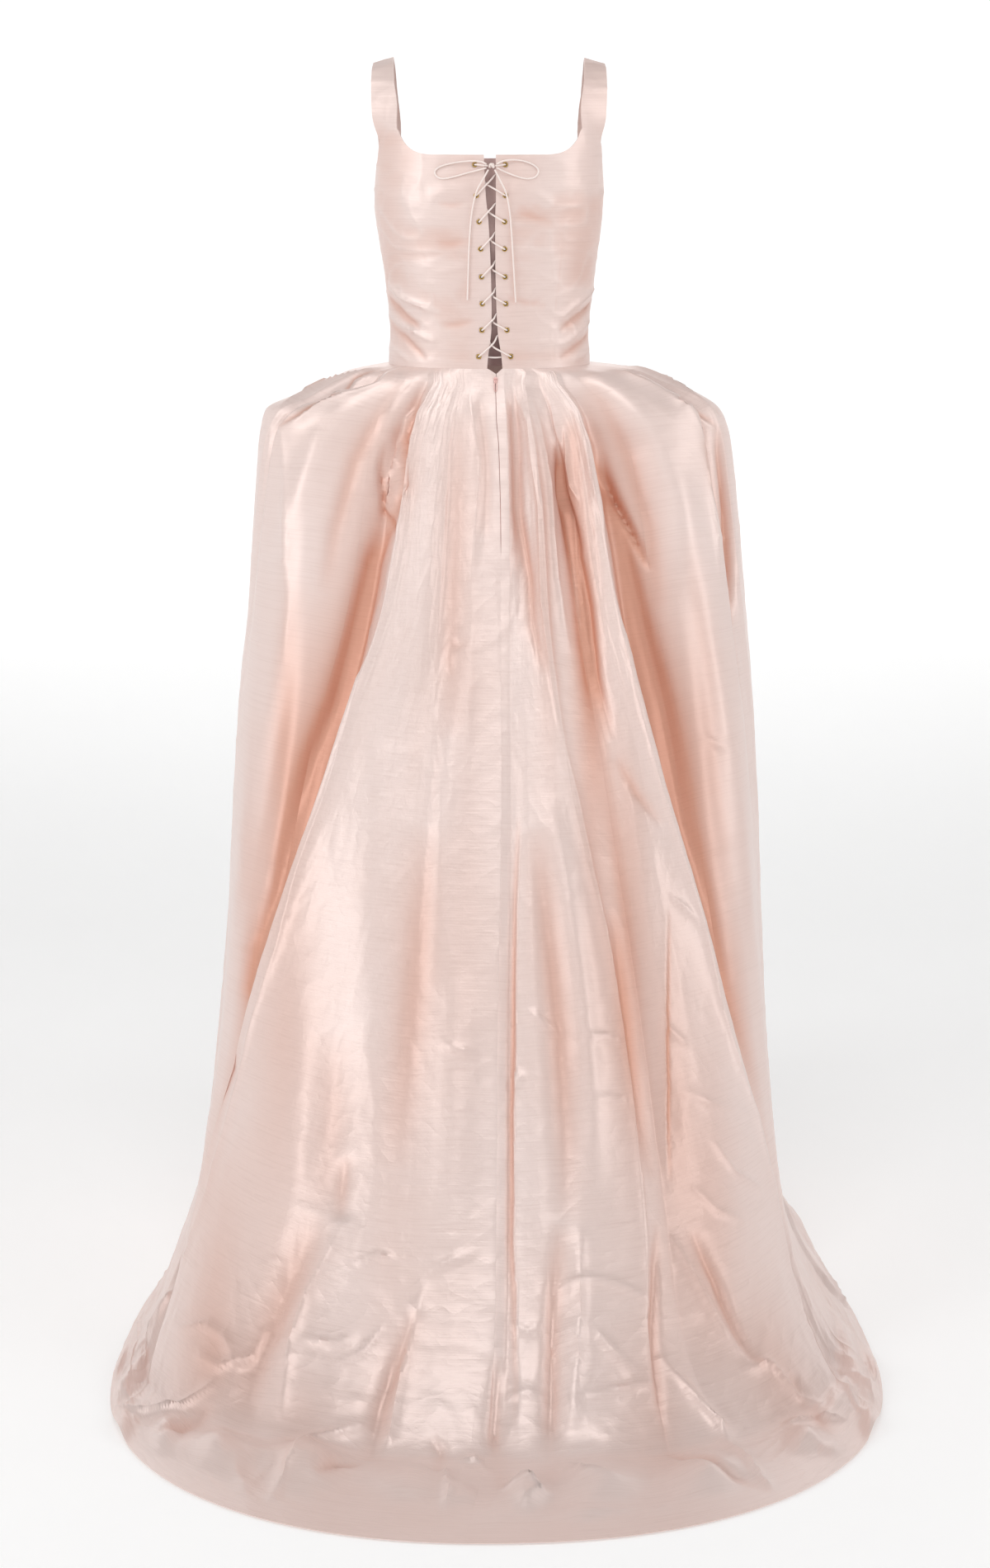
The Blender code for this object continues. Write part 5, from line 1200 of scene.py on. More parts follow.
def strap_point(share, station, side):
    """A point of a strap: share 0 at its inner edge, station in rows from the back."""
    row = smooth_rows(range(len(STRAP_ROWS)), list(STRAP_ROWS.values()), station)
    point = row[:3] + (row[3:] - row[:3]) * share
    return np.array([side * point[0], point[1], point[2]])


def strap_rows(top_row, shares, stations, side, count):
    """A strap's rows from its panel's top row on, through the stations to the shoulder."""
    knots = [top_row] + [np.array([strap_point(share, station, side) for share in shares])
                         for station in stations]
    values = np.stack(knots)
    at = np.linspace(0, len(knots) - 1, count + 1)[1:]
    rows = smooth_rows(range(len(knots)), values.reshape(len(knots), -1), at)
    rows = rows.reshape(count, len(shares), 3)
    rows[-1, :, 1] += SEAM_GAP / 2 * (1 if stations[0] < SHOULDER_STATION else -1)
    return rows


def panel_angles():
    """Angles of the columns of half a back or front, closest together under the strap."""
    before, under, behind = PANEL_COLUMNS
    return np.concatenate([np.linspace(PANEL_FIRST, STRAP_FIRST, before),
                           np.linspace(STRAP_FIRST, STRAP_LAST, under)[1:],
                           np.linspace(STRAP_LAST, PANEL_LAST, behind)[1:]])


def join_strap(points, numbers, angles, side, stations, sizes):
    """Adds a strap's points over a panel's top row. Returns all points and the faces."""
    from_middle = side * angles
    under = (from_middle >= STRAP_FIRST - .01) & (from_middle <= STRAP_LAST + .01)
    columns = np.nonzero(under)[0]
    shares = (from_middle[columns] - STRAP_FIRST) / (STRAP_LAST - STRAP_FIRST)
    rows = strap_rows(points[numbers[columns, -1]], shares, stations, side, sizes.strap_rows)
    start = len(points)
    points = np.vstack([points, rows.reshape(-1, 3)])
    ladder = np.vstack([numbers[columns, -1][None, :], grid_numbers(rows, start)]).T
    return points, grid_faces(ladder)


def back_panel(name, side, sizes, finish):
    """Half of the back, from the lacing gap to the side seam, with its strap."""
    angles = panel_angles()
    insets = np.linspace(0, 1, 9)[:-1] ** 1.2 * PLACKET_WIDTH
    share = np.linspace(0, 1, sizes.bodice_rows + 1)
    heights = WAIST_SEAM + (NECKLINE - WAIST_SEAM) * share
    columns = [np.array([placket_point(side, inset, height, 0.0)[0] for height in heights])
               for inset in insets]
    for angle in angles:
        heights = WAIST_SEAM + (float(top_edge(angle, "back")) - WAIST_SEAM) * share
        section = bodice_section(heights)
        middle, width = gap_at(heights).T
        edge = np.abs(middle + side * width / 2 + side * PLACKET_WIDTH) / section["half_width"]
        start = np.degrees(np.arcsin(edge ** (section["square"] / 2)))
        shown = start + (angle - PANEL_FIRST) * (PANEL_LAST - start) / (PANEL_LAST - PANEL_FIRST)
        columns.append(bodice_by_angle(side * shown, heights))
    grid = np.array(columns)
    grid[-1, :, 1] += SEAM_GAP / 2
    numbers = grid_numbers(grid)
    all_angles = np.concatenate([np.zeros(len(insets)), angles])
    points, strap = join_strap(grid.reshape(-1, 3), numbers, side * all_angles, side,
                               (0, 1, 2, SHOULDER_STATION), sizes)
    faces = np.vstack([grid_faces(numbers), strap])
    return dress_panel(name, points, faces, sizes, finish, side)


def front_panel(name, sizes, finish):
    """The whole front, from side seam to side seam, with the front of both straps."""
    half = np.concatenate([np.linspace(0, PANEL_FIRST, 5)[:-1], panel_angles()])
    angles = np.concatenate([-half[::-1], half[1:]])
    share = np.linspace(0, 1, sizes.bodice_rows + 1)
    columns = []
    for angle in angles:
        top = float(top_edge(abs(angle), "front"))
        columns.append(bodice_by_angle(180 - angle, WAIST_SEAM + (top - WAIST_SEAM) * share))
    grid = np.array(columns)
    grid[[0, -1], :, 1] -= SEAM_GAP / 2
    numbers = grid_numbers(grid)
    points, faces = grid.reshape(-1, 3), [grid_faces(numbers)]
    for side in (-1, 1):
        points, strap = join_strap(points, numbers, angles, side,
                                   (6, 5, 4, SHOULDER_STATION), sizes)
        faces.append(strap)
    return dress_panel(name, points, np.vstack(faces), sizes, finish, 0)


def dress_panel(name, points, faces, sizes, finish, side):
    """Adds the darts, drag creases and soft pulls, and gives the panel its wall. side is 1
    or -1 for half of the back and 0 for the front."""
    normals = face_normals(points, faces)
    middle = points.mean(axis=0) * np.array([0, 0, 1.0])
    if np.einsum("ij,ij->i", normals, points - middle).sum() < 0:
        normals, faces = -normals, faces[:, ::-1]
    if side:
        table = [crease for crease in BACK_CREASES if crease[3][0][0] * side > 0]
        creases = placed_creases(table, lambda x, z: over_back(x, z, 0.0), sizes.crease_strength)
        calm = np.clip((np.abs(points[:, 0]) - PLACKET_WIDTH) / BODICE_CALM, 0, 1)
    else:
        creases = placed_creases(FRONT_CREASES, lambda x, z: bodice_by_x(x, z, "front"),
                                 sizes.crease_strength)
        calm = np.ones(len(points))
    total = crease_heights(points, normals, creases)[0]
    across = np.arctan2(points[:, 0], points[:, 1]) * BODICE_RADIUS
    down = -points[:, 2]
    rim = np.clip(points[:, 2] / BODICE_CALM, 0, 1)
    fine = (cloth_noise(across * 12 + 7, down * 26, 21) * BODICE_PULLS
            + crumple(across * 18 + 2, down * 36, 22) * BODICE_CRUMPLES)
    total += fine * sizes.crumple_strength * calm * rim
    points = points + normals * total[:, None]
    normals = face_normals(points, faces)
    # Painted shade in the depth field: darker in the creases' hollows, under the bow and towards
    # the wearer's right side
    depth = np.clip(-total / BODICE_SHADE, 0, 1) * .5
    if side:
        strength, place, spread = LACING_SHADE
        depth = depth + strength * np.exp(-((np.abs(points[:, 0]) - place) / spread) ** 2)
        strength, start, span = SIDE_SHADE
        depth = depth + strength * ease((-points[:, 0] - start) / span)
    fields = {"depth": depth, "across": across, "down": down, "loose": calm * BODICE_LOOSE}
    return cloth_shell(name, points, normals, faces, sizes.bodice_wall, finish, fields)


def cut_holes(panel, side):
    """Cuts a round hole for each eyelet and keeps the cut mesh."""
    vertices, faces, corners = [], [], HOLE_CORNERS
    for height, _, _ in LACING_ROWS:
        low, normal = placket_point(side, EYELET_INSET, height, -HOLE_REACH)
        across, upright = round_basis(normal)
        base = len(vertices)
        for end in (low, low + normal * HOLE_REACH * 2):
            for corner in range(corners):
                turn = 2 * math.pi * (corner + .5) / corners
                spoke = across * math.cos(turn) + upright * math.sin(turn)
                vertices.append(end + spoke * PANEL_HOLE)
        faces.append([base + corner for corner in reversed(range(corners))])
        faces.append([base + corners + corner for corner in range(corners)])
        for corner in range(corners):
            after = (corner + 1) % corners
            faces.append([base + corner, base + after,
                          base + corners + after, base + corners + corner])
    cutter = mesh_object(panel.name + "_holes", vertices, faces, panel.data.materials[0])
    cut = panel.modifiers.new("eyelet_holes", "BOOLEAN")
    cut.operation = "DIFFERENCE"
    cut.solver = "EXACT"
    cut.object = cutter
    keep_modifiers(panel)
    bpy.data.objects.remove(cutter, do_unlink=True)


def keep_modifiers(made):
    """Turns what a piece's modifiers make into its own mesh."""
    depsgraph = bpy.context.evaluated_depsgraph_get()
    mesh = bpy.data.meshes.new_from_object(made.evaluated_get(depsgraph))
    made.modifiers.clear()
    made.data = mesh


def round_basis(normal):
    """Two unit vectors square to a normal."""
    across = unit(np.cross(np.array([0, 0, 1.0]), normal))
    return across, np.cross(normal, across)


def modesty_panel(sizes, finish):
    """The placket behind the gap, with the slack folds of a loose flap."""
    shares = np.linspace(-1, 1, MODESTY_COLUMNS)
    heights = np.linspace(MODESTY_BOTTOM, MODESTY_TOP, MODESTY_POINTS)
    grid, normals = [], []
    for share in shares:
        inward = float(ease((1 - abs(share)) / MODESTY_BEND))
        depth = MODESTY_SIDE + (MODESTY_DEPTH - MODESTY_SIDE) * inward
        column, ways = [], []
        for height in heights:
            x = gap_at(height)[0] + share * MODESTY_HALF
            normal = back_normal(x, height)
            column.append(bodice_by_x(x, height) - normal * (depth + MODESTY_CLEAR))
            ways.append(normal)
        grid.append(column)
        normals.append(ways)
    grid, normals = np.array(grid), np.array(normals)
    slack = ease((1 - np.abs(shares)) / MODESTY_SLACK)[:, None]
    across = (shares * MODESTY_HALF)[:, None] + heights[None, :] * 0
    down = -heights[None, :] + across * 0
    fold = -np.abs(cloth_noise(across * 55, down * 9, 31)) * PLACKET_SLACK
    tuck = np.maximum(cloth_noise(down * 30 + across * 35, across * 8, 32), 0)
    fold = fold - tuck * PLACKET_TUCK
    grid = grid + normals * (fold * slack)[:, :, None]
    at, half, relief = MODESTY_BAND
    band = np.exp(-((heights - at) / half) ** 2)[None, :] * slack
    grid = grid + normals * (band * relief)[:, :, None]
    # Painted shade in the flap's folds, by how deep they sink
    fields = {"depth": np.clip(-fold / PLACKET_SLACK, 0, 1), "across": across, "down": down,
              "loose": np.full_like(across, PLACKET_LOOSE)}
    return cloth_shell("modesty_cloth", grid.reshape(-1, 3), normals.reshape(-1, 3),
                       grid_faces(grid_numbers(grid)), sizes.bodice_wall * .5, finish, fields)


# Metal

def turned_piece(name, centre, normal, profile, segments, finish):
    """A closed ring turned round a normal from a profile of (radius, out)."""
    across, upright = round_basis(normal)
    points, faces, size = [], [], len(profile)
    for segment in range(segments):
        turn = 2 * math.pi * segment / segments
        spoke = across * math.cos(turn) + upright * math.sin(turn)
        points += [centre + spoke * radius + normal * out for radius, out in profile]
    for segment in range(segments):
        after = (segment + 1) % segments
        for point in range(size):
            following = (point + 1) % size
            faces.append([segment * size + point, segment * size + following,
                          after * size + following, after * size + point])
    return turn_out(mesh_object(name, points, faces, finish))


def turn_out(made):
    work = bmesh.new()
    work.from_mesh(made.data)
    bmesh.ops.recalc_face_normals(work, faces=work.faces)
    work.to_mesh(made.data)
    work.free()
    return made


def eyelet(name, side, height, finish):
    """A rolled eyelet: a round lip on the face, a barrel, and a flat set rim behind."""
    face = EYELET_CLEAR + .0001
    back = -BODICE_WALL - EYELET_CLEAR
    lip_middle, lip_half = (EYELET_HOLE + EYELET_RIM) / 2, (EYELET_RIM - EYELET_HOLE) / 2
    profile = [(lip_middle + lip_half * math.cos(turn), face + EYELET_LIP * math.sin(turn))
               for turn in (math.pi * k / 8 for k in range(9))]
    profile += [(EYELET_HOLE, face - .0005), (EYELET_HOLE + .0001, back - .0003),
                (EYELET_RIM, back - .0002), (EYELET_RIM, back), (EYELET_BARREL, back),
                (EYELET_BARREL, face)]
    centre, normal = placket_point(side, EYELET_INSET, height, 0.0)
    return turned_piece(name, centre, normal, profile, 36, finish)


# The lacing

def even_route(points, count):
    """Points spread evenly along a smooth curve through a route's own points."""
    points = np.array(points, float)
    size = len(points)
    padded = np.vstack([2 * points[0] - points[1], points, 2 * points[-1] - points[-2]])
    dense = []
    for piece in range(size - 1):
        a, b, c, d = padded[piece:piece + 4]
        for share in np.linspace(0, 1, 16, endpoint=False):
            dense.append(0.5 * (2 * b + (c - a) * share + (2 * a - 5 * b + 4 * c - d) * share ** 2
                                + (3 * b - a - 3 * c + d) * share ** 3))
    dense = np.array(dense + [points[-1]])
    length = np.concatenate([[0], np.cumsum(np.linalg.norm(np.diff(dense, axis=0), axis=1))])
    even = np.linspace(0, length[-1], count)
    return np.stack([np.interp(even, length, dense[:, axis]) for axis in range(3)], 1)


def lace_strand(side, row):
    """From on top of one eyelet, over its panel's edge, down through the gap, under the
    other panel and up to the next eyelet of the other side."""
    low, high = LACING_ROWS[row][0], LACING_ROWS[row + 1][0]
    slope = LACE_LEFT_SLOPE if side > 0 else LACE_RIGHT_SLOPE
    edge_height = low + EYELET_INSET * slope
    width = gap_at(edge_height)[1]
    far_height = edge_height + width * slope

    def near(inset, out):
        return placket_point(side, inset, low + (EYELET_INSET - inset) * slope, out)[0]

    def far(inset, out):
        share = (inset + LACE_TURN_IN) / (EYELET_INSET + LACE_TURN_IN)
        return placket_point(-side, inset, far_height + (high - far_height) * share, out)[0]

    middle = (near(-width / 2, (LACE_OVER + LACE_UNDER) / 2)
              + far(-width / 2, (LACE_OVER + LACE_UNDER) / 2)) / 2
    middle[2] = (edge_height + far_height) / 2
    out_of, away, edge = LACE_STEPS
    return [placket_point(side, EYELET_INSET, low, LACE_IN_HOLE[0])[0],
            near(EYELET_INSET - out_of, LACE_REST), near(EYELET_INSET - away, LACE_OVER),
            near(edge, LACE_OVER), near(-LACE_TURN_IN, LACE_OVER - LACE_SOFT), middle,
            far(-LACE_TURN_IN, LACE_UNDER + LACE_SOFT), far(edge, LACE_UNDER),
            far(EYELET_INSET - away, LACE_UNDER), far(EYELET_INSET - .0004, LACE_UNDER + .0004),
            placket_point(-side, EYELET_INSET, high, LACE_IN_HOLE[1])[0]]


def lace_thread(first_side):
    """The whole run that starts at a bottom eyelet, up to where it leaves the top one."""
    points, side = [], first_side
    for row in range(len(LACING_ROWS) - 1):
        points += lace_strand(side, row)
        side = -side
    return points, side


def top_tail(side):
    """From the top eyelet, on top of the panel, to the side of the knot."""
    height = LACING_ROWS[-1][0]
    knot_x, knot_z, knot_out = KNOT_PLACE
    stop = knot_x + side * (KNOT_SIZE[0] * (1 - KNOT_GROOVE) + KNOT_CLEAR)
    return [placket_point(side, EYELET_INSET, height, LACE_IN_HOLE[0])[0],
            placket_point(side, EYELET_INSET - LACE_STEPS[0], height, LACE_REST)[0],
            placket_point(side, EYELET_INSET - .0026, height - .0002, LACE_OVER)[0],
            over_back(stop + side * .0012, knot_z, knot_out - .0002),
            over_back(stop, knot_z, knot_out)]


def lace_run_points():
    left, left_end = lace_thread(1)
    right, right_end = lace_thread(-1)
    bottom = LACING_ROWS[0][0]
    half = []
    for inset, out in ((0, LACE_IN_HOLE[1]), (.0010, LACE_UNDER + LACE_SOFT),
                       (.0030, LACE_UNDER)):
        half.append([placket_point(side, EYELET_INSET - inset, bottom, out)[0] for side in (1, -1)])
    joint = [pair[0] for pair in half]
    joint.append(over_back(gap_at(bottom)[0], bottom - .0015, LACE_UNDER))
    joint += [pair[1] for pair in reversed(half)]
    run = [*reversed(top_tail(left_end)), *reversed(left), *joint, *right, *top_tail(right_end)]
    kept = [run[0]]
    for point in run[1:]:
        if np.linalg.norm(point - kept[-1]) > 0.0003:
            kept.append(point)
    return kept


def cord_curve(name, points, radius, finish):
    curve = bpy.data.curves.new(name, "CURVE")
    curve.dimensions = "3D"
    curve.bevel_depth = radius
    curve.bevel_resolution = 4
    curve.resolution_u = 1
    curve.use_fill_caps = True
    curve.materials.append(finish)
    line = curve.splines.new("POLY")
    line.points.add(len(points) - 1)
    for item, point in zip(line.points, points):
        item.co = (*point, 1)
    line.use_smooth = True
    made = bpy.data.objects.new(name, curve)
    bpy.context.scene.collection.objects.link(made)
    return made


def route_length(points):
    return float(np.linalg.norm(np.diff(np.asarray(points), axis=0), axis=1).sum())


# The zip

def zip_frame(form, height):
    """A place on the centre-back seam: its point, the way down it and the way out."""
    line = form["seam_line"]
    row = int(np.argmax(line[1:, 2] < height))
    share = (height - line[row][2]) / (line[row + 1][2] - line[row][2])
    point = line[row] + (line[row + 1] - line[row]) * share
    down = unit(line[row + 1] - line[row])
    out = unit(np.cross(down, np.array([1.0, 0, 0])))
    return point, down, out if out[1] > 0 else -out


def pull_ring(name, centre, down, out, finish):
    """The teardrop ring of the pull, which hangs just below the hinge's bar."""
    count, sides, points = 48, 10, []
    across = np.array([1.0, 0, 0])
    for step in range(count):
        turn = 2 * math.pi * step / count
        along = .5 - .5 * math.cos(turn)
        half = (PULL_WIDTH - PULL_RIM) / 2
        width = half * math.sin(turn) * (.52 + .48 * along ** .8)
        reach = PULL_EYE + PULL_RIM / 2 + (PULL_LENGTH - PULL_RIM) * along
        place = centre + across * width + down * reach
        way = unit(across * math.sin(turn) * .9 - down * math.cos(turn) * .5)
        rim = PULL_RIM / 2 * (1.25 if along < .15 else 1.0)
        for k in range(sides):
            spin = 2 * math.pi * k / sides
            points.append(place + way * math.cos(spin) * rim + out * math.sin(spin) * PULL_WALL / 2)
    return turn_out(mesh_object(name, points, tube_faces(count, sides), finish))


def zip_coil(form, finish):
    """The coil of the closed zip, which shows as a fine line in the slit."""
    top = ZIP_TOP - ZIP_COIL_TOP
    heights = np.linspace(top, ZIP_BOTTOM, int((top - ZIP_BOTTOM) / ZIP_PITCH) * 8)
    points = []
    for step, height in enumerate(heights):
        point, _, out = zip_frame(form, height)
        spin = 2 * math.pi * step / 8
        points.append(point + np.array([1.0, 0, 0]) * ZIP_COIL * math.cos(spin)
                      + out * (ZIP_COIL * .6 * math.sin(spin) - ZIP_COIL_DEPTH))
    made = cord_curve("zip_coil", points, ZIP_WIRE, finish)
    made.data.bevel_resolution = 0
    return made


# Finishes

def new_finish(name, roughness, metallic=0.0):
    finish = bpy.data.materials.new(name)
    finish.use_nodes = True
    shader = finish.node_tree.nodes["Principled BSDF"]
    shader.inputs["Roughness"].default_value = roughness
    shader.inputs["Metallic"].default_value = metallic
    return finish, finish.node_tree, shader


def add_node(tree, kind, links=(), **values):
    """A node with its socket values and its incoming links: (input, node, output)."""
    node = tree.nodes.new(kind)
    for name, value in values.items():
        setattr(node, name, value)
    for target, source, output in links:
        tree.links.new(source.outputs[output], node.inputs[target])
    return node


def ramp(tree, source, output, stops):
    node = add_node(tree, "ShaderNodeValToRGB", [("Fac", source, output)])
    points = node.color_ramp.elements
    while len(points) < len(stops):
        points.new(.5)
    for point, (place, colour) in zip(points, stops):
        point.position = place
        point.color = (*colour, 1)
    return node


def cloth_place(tree, across_scale, down_scale):
    """The cloth's own two directions, stretched by a scale each, as texture coordinates."""
    across = add_node(tree, "ShaderNodeAttribute", attribute_name="across")
    down = add_node(tree, "ShaderNodeAttribute", attribute_name="down")
    wide = add_node(tree, "ShaderNodeMath", [(0, across, "Fac")], operation="MULTIPLY")
    wide.inputs[1].default_value = across_scale
    long = add_node(tree, "ShaderNodeMath", [(0, down, "Fac")], operation="MULTIPLY")
    long.inputs[1].default_value = down_scale
    return add_node(tree, "ShaderNodeCombineXYZ", [("X", wide, 0), ("Y", long, 0)])


def noise_node(tree, place, detail, roughness):
    node = add_node(tree, "ShaderNodeTexNoise", [("Vector", place, 0)])
    node.inputs["Scale"].default_value = 1.0
    node.inputs["Detail"].default_value = detail
    node.inputs["Roughness"].default_value = roughness
    return node


def mix_colour(tree, share, share_output, first, second, kind="MIX"):
    node = add_node(tree, "ShaderNodeMix", data_type="RGBA", blend_type=kind)
    if share is None:
        node.inputs[0].default_value = share_output
    else:
        tree.links.new(share.outputs[share_output], node.inputs[0])
    for slot, value in ((6, first), (7, second)):
        if isinstance(value, tuple):
            node.inputs[slot].default_value = value
        else:
            output = 2 if value.bl_idname == "ShaderNodeMix" else 0
            tree.links.new(value.outputs[output], node.inputs[slot])
    return node


def bump(tree, height, output, strength, distance, before=None):
    node = add_node(tree, "ShaderNodeBump", [("Height", height, output)])
    node.inputs["Strength"].default_value = strength
    node.inputs["Distance"].default_value = distance
    if before:
        tree.links.new(before.outputs[0], node.inputs["Normal"])
    return node


def object_noise(tree, scale, detail=2.0):
    """Noise in a piece's own space."""
    place = add_node(tree, "ShaderNodeTexCoord")
    noise = add_node(tree, "ShaderNodeTexNoise", [("Vector", place, "Object")])
    noise.inputs["Scale"].default_value = scale
    noise.inputs["Detail"].default_value = detail
    return noise


def tint(tree, shader, noise, colour, share, low, high):
    """The colour of a finish, darker by a share where the noise is low."""
    darker = tuple(value * share for value in colour[:3])
    mottled = ramp(tree, noise, "Fac", ((low, darker), (high, tuple(colour[:3]))))
    tree.links.new(mottled.outputs[0], shader.inputs["Base Color"])


def uneven_gloss(tree, shader, noise, low, high):
    """A roughness from low to high, by the noise."""
    gloss = add_node(tree, "ShaderNodeMapRange", [("Value", noise, "Fac")])
    gloss.inputs["To Min"].default_value = low
    gloss.inputs["To Max"].default_value = high
    tree.links.new(gloss.outputs[0], shader.inputs["Roughness"])


def set_inputs(shader, **values):
    """Sets a shader's inputs, with _ for the spaces in their names."""
    for name, value in values.items():
        shader.inputs[name.replace("_", " ")].default_value = value


def silk_finish(name, light, deep, roughness, shade_share):
    """Taffeta with painted shade: it runs from the light colour to the deep one as the depth field
    rises, in folds, hollows and other shaded places, with fine uneven weft threads across it.
    """
    finish, tree, shader = new_finish(name, roughness)
    depth = add_node(tree, "ShaderNodeAttribute", attribute_name="depth")
    loose = add_node(tree, "ShaderNodeAttribute", attribute_name="loose")
    slub, thick, weave, cloud, crushed = (
        noise_node(tree, cloth_place(tree, wide, long), detail, rough)
        for wide, long, detail, rough in SILK_NOISES.values())
    crushed.noise_type = "RIDGED_MULTIFRACTAL"
    crushed.inputs["Offset"].default_value = 1.0
    crushed_here = add_node(tree, "ShaderNodeMath", [(0, crushed, 0), (1, loose, "Fac")],
                            operation="MULTIPLY")
    share = add_node(tree, "ShaderNodeMath", [(0, depth, "Fac")], operation="MULTIPLY")
    share.inputs[1].default_value = shade_share
    base = mix_colour(tree, share, 0, light, deep)
    streak = ramp(tree, slub, "Fac", SILK_STREAKS)
    tone = ramp(tree, cloud, "Fac", SILK_TONES)
    base = mix_colour(tree, None, .75, base, streak, "MULTIPLY")
    base = mix_colour(tree, None, .8, base, tone, "MULTIPLY")
    tree.links.new(base.outputs[2], shader.inputs["Base Color"])
    uneven_gloss(tree, shader, slub, roughness - .06, roughness + .08)
    relief = None
    for noise, output, strength, distance in (
            (slub, "Fac", .22, .0007), (thick, "Fac", .20, .0012),
            (weave, "Fac", .05, .0002), (crushed_here, 0, .22, .0014)):
        relief = bump(tree, noise, output, strength, distance, relief)
    tree.links.new(relief.outputs[0], shader.inputs["Normal"])
    set_inputs(shader, Metallic=.22, Sheen_Weight=.12, Sheen_Roughness=.35,
               Sheen_Tint=(1.0, .90, .86, 1), Specular_IOR_Level=.8)
    return finish


def cord_finish(name, colour, roughness):
    """Satin cord with fine threads."""
    finish, tree, shader = new_finish(name, roughness)
    threads = object_noise(tree, 1400)
    tint(tree, shader, threads, colour, .90, .3, .7)
    relief = bump(tree, threads, "Fac", .35, .0002)
    tree.links.new(relief.outputs[0], shader.inputs["Normal"])
    set_inputs(shader, Sheen_Weight=.3, Sheen_Roughness=.3)
    return finish


def metal_finish(name, colour, roughness, metallic):
    """Small pressed metal parts with a slightly worn shine."""
    finish, tree, shader = new_finish(name, roughness, metallic)
    wear = object_noise(tree, 420, 3.0)
    tint(tree, shader, wear, colour, .86, .35, .65)
    uneven_gloss(tree, shader, wear, roughness - .05, roughness + .10)
    return finish


def paper_finish(name, colour, roughness, glow):
    """The matt paper of the studio floor."""
    finish, tree, shader = new_finish(name, roughness)
    tint(tree, shader, object_noise(tree, 6), colour, .99, .3, .7)
    set_inputs(shader, Emission_Color=(1, 1, 1, 1), Emission_Strength=glow)
    return finish


def finishes():
    """Every finish by its material slot, made once."""
    if not STORE.get("finishes"):
        colours = bpy.context.scene.gown_colours
        silk, fold = tuple(colours.silk), tuple(colours.silk_fold_shade)
        placket, placket_fold_shade = tuple(colours.placket), tuple(colours.placket_fold_shade)
        STORE["finishes"] = {
            "silk": silk_finish("blush_silk", silk, fold, .39, .85),
            "silk_shade": silk_finish("shaded_silk", placket, placket_fold_shade, .45, 1.0),
            "lace_cord": cord_finish("satin_cord", tuple(colours.cord), .38),
            "zip_cord": cord_finish("zip_tape_weave", tuple(colours.zip_tape), .5),
            "gold_metal": metal_finish("gold_eyelet", tuple(colours.gold), .24, 1.0),
            "pink_metal": metal_finish("pink_lacquer", tuple(colours.zip_metal), .32, .35),
        }
    return STORE["finishes"]


def place_piece(piece, slot, body, *nodes):
    """Rides a piece on its body and hides the nodes that it stands for; slot is not used."""
    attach(piece, body)
    if nodes:
        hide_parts(*nodes)
    return piece


# What a user changes

def length_property(name, description, default):
    return FloatProperty(name=name, description=description, default=default, unit="LENGTH")


def count_property(name, description, default):
    return IntProperty(name=name, description=description, default=default, min=1)


def strength_property(name, description):
    return FloatProperty(name=name, description=description, default=1.0)


class GownSizes(PropertyGroup):
    skirt_wall: length_property("Skirt cloth", "Thickness of the skirt's silk", .0009)
    bodice_wall: length_property("Bodice cloth", "Thickness of the lined bodice", .0014)
    lace_radius: length_property("Lace radius", "Half the lace's thickness", LACE_RADIUS)
    back_spacing: length_property("Back spacing", "Widest step of the train's columns", .0047)
    front_spacing: length_property("Front spacing", "Widest step of the front's columns", .0150)
    skirt_rows: count_property("Skirt rows", "Rows of points down the train", 316)
    bodice_rows: count_property("Bodice rows", "Rows of points up the bodice", 96)
    strap_rows: count_property("Strap rows", "Rows of points along half a strap", 36)
    fold_smoothing: count_property("Fold smoothing", "How often the folds are rounded off", 10)
    crease_strength: strength_property("Creases", "Strength of the placed creases")
    crumple_strength: strength_property("Crumples", "Strength of the crushed cloth")


def colour_property(name, description, default):
    return FloatVectorProperty(name=name, description=description, subtype="COLOR", size=4,
                               min=0, max=1, default=default)


class GownColours(PropertyGroup):
    silk: colour_property("Silk", "The silk in full light", (.86, .712, .668, 1))
    # Painted shade: the silk's colour where the painted shade of folds and hollows is full
    silk_fold_shade: colour_property("Silk in folds", "The silk deep in a fold", (.66, .28, .165, 1))
    # Painted shade: the placket is the same silk, coloured darker for the shade behind the lacing,
    # and darker still in its creases
    placket: colour_property("Placket", "The silk behind the lacing", (.66, .47, .44, 1))
    placket_fold_shade: colour_property("Placket in folds", "The same silk in its creases",
                                  (.20, .10, .09, 1))
    cord: colour_property("Lace", "The satin lace", (.97, .85, .80, 1))
    zip_tape: colour_property("Zip tape", "The tape and coil of the zip", (.80, .43, .38, 1))
    gold: colour_property("Eyelets", "The gold-coloured eyelets", (.66, .45, .14, 1))
    zip_metal: colour_property("Zip pull", "The lacquer of slider and pull", (.86, .56, .52, 1))
    floor: colour_property("Floor", "The studio floor", (.74, .74, .74, 1))


# The operators, one for each piece or group of like pieces

